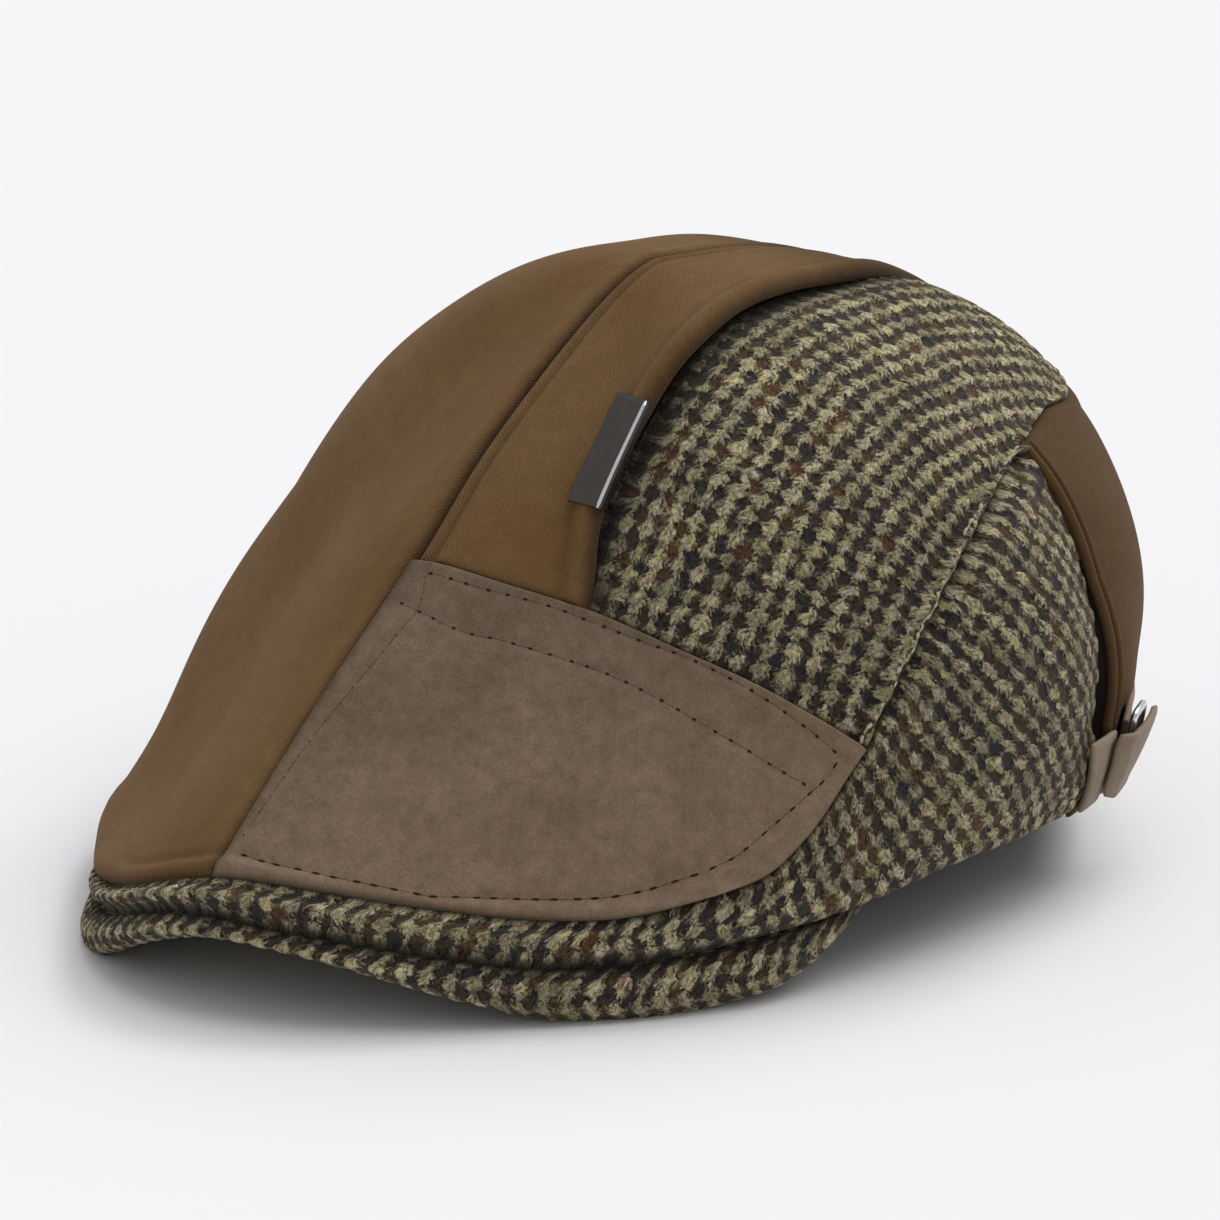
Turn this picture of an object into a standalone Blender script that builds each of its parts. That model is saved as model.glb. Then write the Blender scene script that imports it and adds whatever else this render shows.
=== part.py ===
"""A patchwork flat cap, standing by itself: a crown of brown cloth and tweed, a suede patch and a padded peak.

Metres, +Z up, the peak towards -Y and the wearer's left towards +X. z = 0 is the surface it rests on, and the
origin lies on it under the middle of the whole cap.

The crown is one smooth surface. Its plan is a disc of radius 1: a point (x, y) of the disc lies on the crown in
the direction of (x, y), its distance from the middle being 0 at the top of the cap and 1 at the hem. The seams
are drawn on this disc as the pieces' edges, and each piece of cloth is the stretch of the crown between them.
"""

from collections import namedtuple
from math import cos, hypot, pi, radians, sin

import bmesh
import bpy
import numpy as np

# Crown
TOP_Y = 0.0146
FRONT_REACH = 0.147
BACK_REACH = 0.108
HALF_WIDTH = 0.096
CROWN_HEIGHT = 0.137
HEM_RISE = 0.0175
CREST_TURN = 8.0
DROOP = 0.0072
DROOP_ANGLES = (8.0, -16.0, -48.0, -85.0)

# Cloth
CLOTH = 0.0022
STRIP_CLOTH = 0.0032
STRIP_PROUD = 0.0026
STRIP_RISE_SHARE = 0.15
STRIP_FALL_START = 0.50
STRIP_FALL_END = 0.80
STRIP_END_RISE = 0.25
STRIP_CLIMB_POWER = 1.5
SUEDE_PROUD = 0.0009
SEAM_GAP = 0.0008
SEAM_DIP = 0.0008
SEAM_DIP_WIDTH = 0.007
REST_CLEARANCE = 0.0004
SAME_PLACE = 0.000001

# Roll of tweed along the front of the crown, and the open seams beside the back panel
FRONT_ROLL_BULGE = 0.0014
FRONT_ROLL_FADE = 12.0
OPEN_SEAM_DEPTH = 0.0036
OPEN_SEAM_WIDTH = 0.012
OPEN_SEAM_START = 0.20

# Peak
HEAD_FRONT_REACH = 0.096
HEAD_HALF_WIDTH = 0.087
PEAK_LIP = 0.0146
PEAK_LIP_WIDTH = 0.0085
PEAK_OVERHANG = 0.0012
PEAK_BOARD = 0.0042
PEAK_PITCH = 0.10
PEAK_HALF_ANGLE = 74.0

# Straps, buckle, label and piping
STRAP = 0.0014
STRAP_TOP_SHARE = 0.880
STRAP_FOOT_SHARE = 0.985
STRAP_SLANT = 0.09
TAB_FRONT_ANGLE = 110.0
TAB_BACK_ANGLE = 120.5
STRAP_FRONT_ANGLE = 122.0
TONGUE_FRONT_ANGLE = 118.0
TONGUE_BACK_ANGLE = 133.0
TONGUE_ROUNDING = 2.0
TONGUE_CORNER_POWER = 4
TONGUE_FOOT_SHARE = 0.970
TONGUE_LIFT = 0.0023
TONGUE_CLIMB_SHARE = 0.12
BUCKLE_ANGLE = 127.0
BUCKLE_HALF_ANGLE = 3.2
BUCKLE_HALF_SHARE = 0.060
BUCKLE_ROUNDING = 0.5
BUCKLE_POINTS = 24
BUCKLE_WIRE = 0.0008
LABEL = 0.0010
LABEL_GAP = 0.0008
LABEL_INNER_SHARE = 0.76
LABEL_FRONT_SHARE = 0.090
LABEL_BACK_SHARE = 0.232
PIPING_RADIUS = 0.0011
PIPING_SHARE = 0.018
PIPING_FOOT_SHARE = 0.30
PIPING_TOP_SHARE = 0.92

BACK_EDGE_ANGLE = 117.0
ROW_STEP = 30.0

# Grids: how many steps each piece has, and its narrow first and last ones. Pieces that share an edge share its count
NARROW_SHARE = 0.018
STRIP_NARROW_SHARE = 0.04
ROLL_NARROW_SHARE = 0.08
LARGEST_INSET_SHARE = 0.45
LINE_STEPS = 24
TOP_ROWS = 18
RIGHT_TOP_COLUMNS = 12
STRIP_COLUMNS = 5
LEFT_TOP_COLUMNS = 9
SUEDE_COLUMNS = 10
SUEDE_ROWS = 8
ROLL_COLUMNS = 15
EAR_COLUMNS = 11
SIDE_ROWS = 6
BACK_COLUMNS = 20
BACK_ROWS = 8
PEAK_RINGS = 27
STRAP_ROWS = 6
TAB_COLUMNS = 6
STRAP_COLUMNS = 30
TONGUE_COLUMNS = 10
LABEL_COLUMNS = 4
LABEL_ROWS = 6
PIPING_POINTS = 40

# One row every 30 degrees from the front round to the back, the same on both sides. reach is a share of the
# ellipse through the four reaches, rise the hem's height as a share of HEM_RISE, lean the angle by which the
# wall leans out above the hem, wall the stretch that keeps this lean as a share of CROWN_HEIGHT, and top the
# level stretch round the top as a share of the reach.
Section = namedtuple("Section", "reach rise lean wall top")
SECTIONS = (
    Section(reach=1.000, rise=1.24, lean=-44, wall=0.32, top=0.21),
    Section(reach=0.990, rise=0.75, lean=-40, wall=0.35, top=0.33),
    Section(reach=1.035, rise=0.82, lean=-1, wall=0.41, top=0.51),
    Section(reach=1.000, rise=1.00, lean=24, wall=0.47, top=0.63),
    Section(reach=0.985, rise=0.87, lean=30, wall=0.52, top=0.70),
    Section(reach=0.990, rise=0.45, lean=20, wall=0.66, top=0.80),
    Section(reach=1.000, rise=-0.11, lean=24, wall=0.67, top=0.78),
)

# Edges of the pieces, as rows of an angle from the front, in degrees, and a distance from the top on the disc
Edge = namedtuple("Edge", "angle share")
FRONT_EDGE = (
    Edge(-71.5, 0.800),
    Edge(-63, 0.885),
    Edge(-52, 0.950),
    Edge(-36, 0.975),
    Edge(-16, 0.965),
    Edge(0, 0.940),
    Edge(20, 0.935),
    Edge(40, 0.940),
    Edge(55, 0.925),
    Edge(63, 0.885),
    Edge(71.5, 0.800),
)
SIDE_SEAM = (Edge(71.5, 0.800), Edge(78, 0.720), Edge(85, 0.650), Edge(95, 0.570), Edge(115, 0.485))
BACK_TOP = (Edge(115, 0.485), Edge(130, 0.475), Edge(148, 0.515), Edge(180, 0.515))

# Edges on the top of the crown, as points of the disc, and the angles at which they meet the edges above
Spot = namedtuple("Spot", "x y")
SEAM_FRONT_ANGLE = 5.0
STRIP_BACK_ANGLE = 172.0
SUEDE_CORNER_ANGLE = 52.0
SEAM_AT_SUEDE = Spot(0.065, -0.545)
SEAM_BELOW_SUEDE = (Spot(0.070, -0.730),)
SEAM_ABOVE_SUEDE = (Spot(0.046, -0.420), Spot(0.036, -0.250), Spot(0.015, 0.050), Spot(0.000, 0.300))
STRIP_AT_SUEDE = Spot(0.335, -0.480)
STRIP_MIDDLE = (Spot(0.276, -0.380), Spot(0.256, -0.247), Spot(0.192, -0.010), Spot(0.122, 0.190), Spot(0.088, 0.350))
SUEDE_OVER_STRIP = (Spot(0.200, -0.512),)
SUEDE_BESIDE_STRIP = (Spot(0.487, -0.425), Spot(0.630, -0.345))

# Soft creases in the cloth: from one point of the disc to another, how deep and how wide. The one whose depth
# is below zero is a fuller place, at the wearer's right front.
Crease = namedtuple("Crease", "start end depth width")
CREASES = (
    Crease(start=Spot(-0.20, -0.80), end=Spot(-0.42, -0.30), depth=0.0010, width=0.010),
    Crease(start=Spot(-0.64, -0.25), end=Spot(-0.545, -0.92), depth=-0.0060, width=0.026),
    Crease(start=Spot(0.55, 0.30), end=Spot(0.58, 0.72), depth=0.0014, width=0.009),
    Crease(start=Spot(-0.55, 0.30), end=Spot(-0.58, 0.72), depth=0.0014, width=0.009),
    Crease(start=Spot(0.30, 0.60), end=Spot(0.34, 0.93), depth=0.0016, width=0.010),
    Crease(start=Spot(-0.28, 0.60), end=Spot(-0.36, 0.93), depth=0.0016, width=0.010),
)

# How deep the peak's lip hangs, as shares of PEAK_LIP, every 30 degrees
PEAK_LIP_SHARES = (0.35, 0.86, 0.74, 0.10)

# The peak's outer face, from its top down to its foot and in: how far in from the hem as a share of
# PEAK_OVERHANG, then as a share of PEAK_LIP_WIDTH, and how far down as a share of the peak's height there
LipPoint = namedtuple("LipPoint", "inward down")
PEAK_FACE = (
    LipPoint(inward=0.8, down=0.02),
    LipPoint(inward=-0.5, down=0.16),
    LipPoint(inward=-1.0, down=0.42),
    LipPoint(inward=-0.7, down=0.70),
    LipPoint(inward=1.0, down=0.92),
)
PEAK_FOOT = (LipPoint(inward=0.35, down=1.0), LipPoint(inward=0.65, down=0.94))
PEAK_BOARD_SHARE = 0.7
PEAK_BOARD_STEP_SHARE = 0.1

Look = namedtuple("Look", "colour roughness metallic")
BROWN_CLOTH = Look((0.115, 0.068, 0.035), 0.92, 0.0)
TWEED = Look((0.150, 0.132, 0.078), 0.95, 0.0)
SUEDE = Look((0.150, 0.105, 0.070), 0.90, 0.0)
LEATHER = Look((0.165, 0.115, 0.080), 0.70, 0.0)
GUNMETAL = Look((0.200, 0.200, 0.210), 0.32, 1.0)
STEEL = Look((0.620, 0.620, 0.640), 0.25, 1.0)


def clear_scene():
    for obj in list(bpy.data.objects):
        bpy.data.objects.remove(obj, do_unlink=True)


def material(name, look):
    made = bpy.data.materials.new(name)
    made.use_nodes = True
    shader = made.node_tree.nodes["Principled BSDF"]
    shader.inputs["Base Color"].default_value = (*look.colour, 1.0)
    shader.inputs["Roughness"].default_value = look.roughness
    shader.inputs["Metallic"].default_value = look.metallic
    return made


def between_rows(angle, values, even_back=True):
    """A smooth value at an angle in degrees from values given every ROW_STEP degrees, even about the front."""
    place = np.abs((np.asarray(angle, float) + 180.0) % 360.0 - 180.0) / ROW_STEP
    last = len(values) - 1
    row = np.clip(place.astype(int), 0, last - 1)
    part = np.clip(place - row, 0.0, 1.0)
    beyond = values[-2] if even_back else values[-1]
    padded = np.array([values[1], *values, beyond], float)
    before, here, after, next_after = (padded[row + k] for k in range(4))
    return 0.5 * (
        2 * here
        + (after - before) * part
        + (2 * before - 5 * here + 4 * after - next_after) * part**2
        + (3 * here - before - 3 * after + next_after) * part**3
    )


def column(name):
    return [getattr(row, name) for row in SECTIONS]


def reach_at(angle):
    """The hem's distance from the middle, in plan."""
    turn = np.radians(angle)
    long_reach = np.where(np.cos(turn) > 0, FRONT_REACH, BACK_REACH)
    ellipse = 1.0 / np.hypot(np.sin(turn) / HALF_WIDTH, np.cos(turn) / long_reach)
    return ellipse * between_rows(angle, column("reach"))


def from_crest(angle):
    """The angle from where the front of the hem stands highest, a little to the left of the front."""
    return angle - CREST_TURN * np.maximum(0.0, np.cos(np.radians(angle)))


def eased(value, start, end):
    """0 before the start, 1 after the end, and smooth between them."""
    part = np.clip((np.asarray(value, float) - start) / (end - start), 0.0, 1.0)
    return part * part * (3 - 2 * part)


def hem_height(angle):
    """The hem's height: even about its crest, but for the front right, which droops to the resting surface."""
    first, full, fading, last = DROOP_ANGLES
    droop = DROOP * eased(angle, first, full) * eased(angle, last, fading)
    return HEM_RISE * between_rows(from_crest(angle), column("rise")) - droop


def crown_surface(x, y):
    """The crown's outer surface over points of the disc: a cubic curve from the top down to the hem."""
    share = np.hypot(x, y)
    angle = np.degrees(np.arctan2(x, -y))
    reach = reach_at(angle)
    hem = hem_height(angle)
    lean = np.radians(between_rows(angle, column("lean")))
    wall = CROWN_HEIGHT * between_rows(angle, column("wall"))
    top = reach * between_rows(angle, column("top"))
    rest = 1.0 - share
    first, second = 3 * share * rest**2, 3 * share**2 * rest
    across = first * top + second * (reach + wall * np.sin(lean)) + share**3 * reach
    height = (rest**3 + first) * CROWN_HEIGHT + second * (hem + wall * np.cos(lean)) + share**3 * hem
    turn = np.radians(angle)
    return np.stack([across * np.sin(turn), TOP_Y - across * np.cos(turn), height], -1)


def crown_normal(x, y):
    step = 0.004
    along_x = crown_surface(x + step, y) - crown_surface(x - step, y)
    along_y = crown_surface(x, y + step) - crown_surface(x, y - step)
    normal = np.cross(along_x, along_y)
    return normal / np.linalg.norm(normal, axis=-1, keepdims=True)


def on_crown(plan, lift=0.0):
    """Points of the disc set on the crown, lifted off it by so many metres."""
    x, y = plan[..., 0], plan[..., 1]
    lift = np.broadcast_to(np.asarray(lift, float), x.shape)
    return crown_surface(x, y) + crown_normal(x, y) * lift[..., None]


def polar(angle, share):
    turn = np.radians(angle)
    return np.stack([share * np.sin(turn), -share * np.cos(turn)], -1)


def spots(*edges):
    return [polar(edge.angle, edge.share) for edge in edges]


def spacing(count, narrow_start=True, narrow_end=True, narrow=NARROW_SHARE):
    """count + 1 shares from 0 to 1, even but for a narrow first and last step that keeps the edges square."""
    shares = np.linspace(0.0, 1.0, count + 1)
    inner = slice(1 if narrow_start else 0, count if narrow_end else count + 1)
    first = narrow if narrow_start else 0.0
    last = 1.0 - narrow if narrow_end else 1.0
    shares[inner] = np.linspace(first, last, len(shares[inner]))
    return shares


def smooth_line(points):
    """A fine smooth line through these points."""
    points = np.array(points, float)
    padded = np.vstack([2 * points[0] - points[1], points, 2 * points[-1] - points[-2]])
    part = np.linspace(0.0, 1.0, LINE_STEPS, endpoint=False)[:, None]
    line = [
        0.5
        * (
            2 * here
            + (after - before) * part
            + (2 * before - 5 * here + 4 * after - next_after) * part**2
            + (3 * here - before - 3 * after + next_after) * part**3
        )
        for before, here, after, next_after in zip(padded, padded[1:], padded[2:], padded[3:])
    ]
    return np.vstack([*line, points[-1:]])


def stretch_of(line, measure, first, last, shares):
    """The part of a fine line over which a measure runs from first to last, at these shares of the way."""
    values = measure(line)
    order = np.argsort(values)
    wanted = first + (last - first) * shares
    return np.stack([np.interp(wanted, values[order], line[order, axis]) for axis in range(2)], -1)


def along_x(line):
    return line[..., 0]


def along_y(line):
    return line[..., 1]


def around(line):
    """Angles from the front, in degrees: positive on the left."""
    return np.degrees(np.arctan2(line[..., 0], -line[..., 1]))


def around_back(line):
    return around(line) % 360.0


SIDE_TIP = Spot(*polar(SIDE_SEAM[0].angle, SIDE_SEAM[0].share))


def mirrored(line):
    return np.asarray(line) * (-1.0, 1.0)


def patch_between(near, far, left, right, columns, rows):
    """A grid of disc points between four edges, each a function of shares of its length, that meet at their ends."""
    across, along = columns[None, :, None], rows[:, None, None]
    ruled = (1 - along) * near(columns)[None] + along * far(columns)[None]
    sideways = (1 - across) * left(rows)[:, None] + across * right(rows)[:, None]
    ends = np.array([0.0, 1.0])
    (near_left, near_right), (far_left, far_right) = near(ends), far(ends)
    corners = (1 - along) * ((1 - across) * near_left + across * near_right) + along * (
        (1 - across) * far_left + across * far_right
    )
    return ruled + sideways - corners


def distance_to(points, start, end):
    """Distance of points on the crown from a straight run between two disc points, and how far along it they are."""
    first = on_crown(np.array(start, float))
    second = on_crown(np.array(end, float))
    run = second - first
    part = np.clip(((points - first) @ run) / (run @ run), 0.0, 1.0)
    return np.linalg.norm(points - first - part[..., None] * run, axis=-1), part


def crease_lift(plan):
    points = on_crown(plan)
    lift = np.zeros(points.shape[:-1])
    for crease in CREASES:
        away, part = distance_to(points, crease.start, crease.end)
        lift -= crease.depth * np.exp(-((away / crease.width) ** 2)) * np.sin(pi * part)
    return lift


def edge_dip(plan, sides):
    """How far cloth sinks towards the seams along the named sides of its grid."""
    points = on_crown(plan)
    borders = {"near": points[0], "far": points[-1], "left": points[:, 0], "right": points[:, -1]}
    seams = np.concatenate([borders[side] for side in sides])
    away = np.linalg.norm(points[:, :, None] - seams[None, None], axis=-1).min(-1)
    return -SEAM_DIP * np.exp(-((away / SEAM_DIP_WIDTH) ** 2))


def inset_border(points, distance):
    """Moves a grid's border in by a distance, so that neighbouring pieces keep a gap, but never past the next row."""
    inner = points.copy()
    rows, columns = points.shape[:2]
    for row in range(rows):
        for col in range(columns):
            if 0 < row < rows - 1 and 0 < col < columns - 1:
                continue
            for towards, at_edge in (
                ((1, 0), row == 0),
                ((-1, 0), row == rows - 1),
                ((0, 1), col == 0),
                ((0, -1), col == columns - 1),
            ):
                if at_edge:
                    step = points[row + towards[0], col + towards[1]] - points[row, col]
                    inner[row, col] += step * min(distance / np.linalg.norm(step), LARGEST_INSET_SHARE)
    return inner


def link(obj, collection, look_material):
    obj.data.materials.append(look_material)
    collection.objects.link(obj)
    return obj


def sheet_mesh(name, points):
    """A grid of faces through the points, facing away from the middle of the crown."""
    rows, columns = points.shape[:2]
    bm = bmesh.new()
    bmesh.ops.create_grid(bm, x_segments=columns - 1, y_segments=rows - 1, size=1.0)
    for vert in bm.verts:
        col = round((vert.co.x + 1.0) / 2.0 * (columns - 1))
        row = round((vert.co.y + 1.0) / 2.0 * (rows - 1))
        vert.co = points[row, col]
    bm.normal_update()
    middle = np.array([0.0, TOP_Y, CROWN_HEIGHT / 3])
    outward = sum((np.array(face.calc_center_median()) - middle) @ np.array(face.normal) for face in bm.faces)
    if outward < 0:
        bmesh.ops.reverse_faces(bm, faces=bm.faces)
    mesh = bpy.data.meshes.new(name)
    bm.to_mesh(mesh)
    bm.free()
    mesh.shade_smooth()
    return mesh


def cloth_piece(name, plan, lift, thickness, collection, look_material, gap=SEAM_GAP):
    """A piece of cloth: the stretch of crown over a grid of disc points, as thick as the cloth, inwards."""
    points = inset_border(on_crown(plan, lift), gap / 2)
    obj = link(bpy.data.objects.new(name, sheet_mesh(name, points)), collection, look_material)
    wall = obj.modifiers.new("Wall", "SOLIDIFY")
    wall.thickness = thickness
    wall.offset = -1.0
    return obj


def rest_flat(obj, cutter):
    cut = obj.modifiers.new("Rest", "BOOLEAN")
    cut.operation = "DIFFERENCE"
    cut.object = cutter


def front_edge(first, last, shares):
    """The lower edge of the top pieces over the front roll, between two angles."""
    return stretch_of(smooth_line(spots(*FRONT_EDGE)), around, first, last, shares)


def side_seam(shares):
    return stretch_of(smooth_line(spots(*SIDE_SEAM)), around, SIDE_SEAM[0].angle, SIDE_SEAM[-1].angle, shares)


def back_top(first, last, shares):
    """The upper edge of the back panel, between two angles."""
    left = spots(*BACK_TOP)
    right = [spot * (-1.0, 1.0) for spot in left[-2::-1]]
    return stretch_of(smooth_line([*left, *right]), around_back, first, last, shares)


def suede_top(first_x, last_x, shares):
    tip = polar(SIDE_SEAM[0].angle, SIDE_SEAM[0].share)
    line = [SEAM_AT_SUEDE, *SUEDE_OVER_STRIP, STRIP_AT_SUEDE, *SUEDE_BESIDE_STRIP, tip]
    return stretch_of(smooth_line(line), along_x, first_x, last_x, shares)


def centre_seam(first_y, last_y, shares):
    front, back = seam_ends()
    line = [front, *SEAM_BELOW_SUEDE, SEAM_AT_SUEDE, *SEAM_ABOVE_SUEDE, back]
    return stretch_of(smooth_line(line), along_y, first_y, last_y, shares)


def seam_ends():
    front = front_edge(SEAM_FRONT_ANGLE, SEAM_FRONT_ANGLE, np.zeros(1))[0]
    back = back_top(180.0, 180.0, np.zeros(1))[0]
    return front, back


def strip_edge(shares):
    back = back_top(STRIP_BACK_ANGLE, STRIP_BACK_ANGLE, np.zeros(1))[0]
    line = smooth_line([STRIP_AT_SUEDE, *STRIP_MIDDLE, back])
    return stretch_of(line, along_y, STRIP_AT_SUEDE.y, back[1], shares)


def make_right_top_panel(collection, brown):
    front, back = seam_ends()
    plan = patch_between(
        near=lambda shares: front_edge(SEAM_FRONT_ANGLE, -SIDE_SEAM[0].angle, shares),
        far=lambda shares: back_top(180.0, 360.0 - BACK_TOP[0].angle, shares),
        left=lambda shares: centre_seam(front[1], back[1], shares),
        right=lambda shares: mirrored(side_seam(shares)),
        columns=spacing(RIGHT_TOP_COLUMNS),
        rows=spacing(TOP_ROWS),
    )
    lift = edge_dip(plan, ("left", "right", "far")) + crease_lift(plan)
    cloth_piece("right_top_panel", plan, lift, CLOTH, collection, brown)


def strip_plan(columns, rows):
    back = seam_ends()[1]
    return patch_between(
        near=lambda shares: suede_top(SEAM_AT_SUEDE.x, STRIP_AT_SUEDE.x, shares),
        far=lambda shares: back_top(180.0, STRIP_BACK_ANGLE, shares),
        left=lambda shares: centre_seam(SEAM_AT_SUEDE.y, back[1], shares),
        right=strip_edge,
        columns=columns,
        rows=rows,
    )


def strip_lift(columns, rows):
    """The strip climbs from the centre seam to its free edge, and lies flat where the suede covers its end."""
    climb = columns[None, :] ** STRIP_CLIMB_POWER
    front = rows / STRIP_RISE_SHARE
    back = (STRIP_FALL_END - rows) / (STRIP_FALL_END - STRIP_FALL_START)
    rise = np.clip(np.minimum(front, back), STRIP_END_RISE, 1.0)[:, None]
    return STRIP_PROUD * climb * rise


def make_centre_strip(collection, brown):
    columns, rows = spacing(STRIP_COLUMNS, narrow=STRIP_NARROW_SHARE), spacing(TOP_ROWS)
    plan = strip_plan(columns, rows)
    lift = strip_lift(columns, rows) + edge_dip(plan, ("left",))
    cloth_piece("centre_strip", plan, lift, STRIP_CLOTH, collection, brown)


def make_left_top_panel(collection, tweed):
    plan = patch_between(
        near=lambda shares: suede_top(STRIP_AT_SUEDE.x, SIDE_TIP.x, shares),
        far=lambda shares: back_top(STRIP_BACK_ANGLE, BACK_TOP[0].angle, shares),
        left=strip_edge,
        right=side_seam,
        columns=spacing(LEFT_TOP_COLUMNS),
        rows=spacing(TOP_ROWS),
    )
    lift = edge_dip(plan, ("right", "far"))
    cloth_piece("left_top_panel", plan, lift, CLOTH, collection, tweed)


def make_suede_patch(collection, suede):
    front = seam_ends()[0]
    plan = patch_between(
        near=lambda shares: front_edge(SEAM_FRONT_ANGLE, SUEDE_CORNER_ANGLE, shares),
        far=lambda shares: suede_top(SEAM_AT_SUEDE.x, SIDE_TIP.x, shares),
        left=lambda shares: centre_seam(front[1], SEAM_AT_SUEDE.y, shares),
        right=lambda shares: front_edge(SUEDE_CORNER_ANGLE, SIDE_SEAM[0].angle, shares),
        columns=spacing(SUEDE_COLUMNS),
        rows=spacing(SUEDE_ROWS),
    )
    cloth_piece("suede_patch", plan, SUEDE_PROUD, CLOTH, collection, suede)


def from_hem(hem_angles, upper, up):
    """A grid of disc points from the hem, at these angles, straight up to the points of an upper edge."""
    hem = polar(hem_angles, np.ones(len(hem_angles)))
    return (1 - up[:, None, None]) * hem[None] + up[:, None, None] * upper[None]


def side_plan(side_angle, over_ear, up):
    """A side panel's grid: up from the hem to the front edge, round to the side seam, and then to the ear's seam."""
    over_peak = front_edge(0.0, side_angle, spacing(ROLL_COLUMNS, narrow_end=False))
    upper = np.vstack([over_peak, over_ear[1:]])
    return from_hem(around(upper) * BACK_EDGE_ANGLE / SIDE_SEAM[-1].angle, upper, up)


def open_seam_fold(plan, border):
    """How far the cloth turns in along an open seam beside the back panel."""
    points = on_crown(plan)
    away = np.linalg.norm(points - points[:, border], axis=-1)
    share = np.hypot(plan[..., 0], plan[..., 1])
    opening = np.clip((share - SIDE_SEAM[-1].share) / OPEN_SEAM_START, 0.0, 1.0)
    return OPEN_SEAM_DEPTH * opening * np.exp(-((away / OPEN_SEAM_WIDTH) ** 2))


def side_lift(plan, up):
    """The front roll bulges, and the back edge turns in to the open seam."""
    front = np.clip((SIDE_SEAM[0].angle - np.abs(around(plan))) / FRONT_ROLL_FADE, 0.0, 1.0)
    bulge = FRONT_ROLL_BULGE * np.sin(pi * up[:, None]) ** 2 * front
    return bulge - open_seam_fold(plan, slice(-1, None))


def make_side_panels(collection, tweed):
    up = spacing(SIDE_ROWS, narrow=ROLL_NARROW_SHARE)
    side_angle = SIDE_SEAM[0].angle
    over_ear = side_seam(spacing(EAR_COLUMNS, narrow_start=False))
    for name, plan in (
        ("left_side_panel", side_plan(side_angle, over_ear, up)),
        ("right_side_panel", side_plan(-side_angle, mirrored(over_ear), up)),
    ):
        cloth_piece(name, plan, side_lift(plan, up) + crease_lift(plan), CLOTH, collection, tweed)


def back_plan(columns, up):
    upper = back_top(BACK_TOP[0].angle, 360.0 - BACK_TOP[0].angle, columns)
    spread = (180.0 - BACK_EDGE_ANGLE) / (180.0 - BACK_TOP[0].angle)
    return from_hem(180.0 + (around_back(upper) - 180.0) * spread, upper, up)


def back_lift(plan):
    folds = open_seam_fold(plan, slice(0, 1)) + open_seam_fold(plan, slice(-1, None))
    return crease_lift(plan) + edge_dip(plan, ("far",)) - folds


def make_back_panel(collection, brown, floor):
    plan = back_plan(spacing(BACK_COLUMNS), spacing(BACK_ROWS))
    rest_flat(cloth_piece("back_panel", plan, back_lift(plan), CLOTH, collection, brown), floor)


def peak_section(angle):
    """The peak's outline in the upright plane at an angle, as pairs of a distance from the middle and a height."""
    rim = polar(angle, 1.0)
    reach = float(reach_at(angle))
    hem = float(hem_height(angle))
    cloth_drop = CLOTH * max(0.0, float(crown_normal(rim[0], rim[1])[2]))
    lip = PEAK_LIP * float(between_rows(from_crest(angle), PEAK_LIP_SHARES, even_back=False))
    turn = radians(angle)
    depth = reach - 1.0 / hypot(sin(turn) / HEAD_HALF_WIDTH, cos(turn) / HEAD_FRONT_REACH)
    top = hem - REST_CLEARANCE - cloth_drop
    tall = top - (hem - lip)
    board = min(PEAK_BOARD, PEAK_BOARD_SHARE * tall)
    board_end = top + PEAK_PITCH * (depth - PEAK_LIP_WIDTH)
    middle = (PEAK_LIP_WIDTH + depth) / 2
    outline = (
        *((point.inward * PEAK_OVERHANG, top - point.down * tall) for point in PEAK_FACE),
        *((point.inward * PEAK_LIP_WIDTH, top - point.down * tall) for point in PEAK_FOOT),
        (PEAK_LIP_WIDTH, top - board - PEAK_BOARD_STEP_SHARE * tall),
        (middle, (top + board_end) / 2 - board),
        (depth, board_end - board),
        (depth, board_end),
        (middle, (top + board_end) / 2),
        (PEAK_LIP_WIDTH, top),
    )
    return [(reach - inward, height) for inward, height in outline]


def make_peak(collection, tweed, floor):
    angles = np.linspace(-PEAK_HALF_ANGLE, PEAK_HALF_ANGLE, PEAK_RINGS)
    rings = [peak_section(angle) for angle in angles]
    sides = len(rings[0])
    bm = bmesh.new()
    bmesh.ops.create_grid(bm, x_segments=sides, y_segments=len(rings) - 1, size=1.0)
    for vert in bm.verts:
        side = round((vert.co.x + 1.0) / 2.0 * sides) % sides
        ring = round((vert.co.y + 1.0) / 2.0 * (len(rings) - 1))
        reach, height = rings[ring][side]
        turn = radians(angles[ring])
        vert.co = (reach * sin(turn), TOP_Y - reach * cos(turn), height)
    bmesh.ops.remove_doubles(bm, verts=bm.verts, dist=SAME_PLACE)
    bmesh.ops.holes_fill(bm, edges=[edge for edge in bm.edges if edge.is_boundary], sides=sides)
    bmesh.ops.recalc_face_normals(bm, faces=bm.faces)
    mesh = bpy.data.meshes.new("peak")
    bm.to_mesh(mesh)
    bm.free()
    mesh.shade_smooth()
    rest_flat(link(bpy.data.objects.new("peak", mesh), collection, tweed), floor)


def on_strap(angle, share):
    """Disc points from an angle at the strap's top edge, slanting towards the back further down."""
    down = (share - STRAP_TOP_SHARE) / (STRAP_FOOT_SHARE - STRAP_TOP_SHARE)
    return polar(180.0 + (angle - 180.0) * (1.0 - STRAP_SLANT * down), share)


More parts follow.
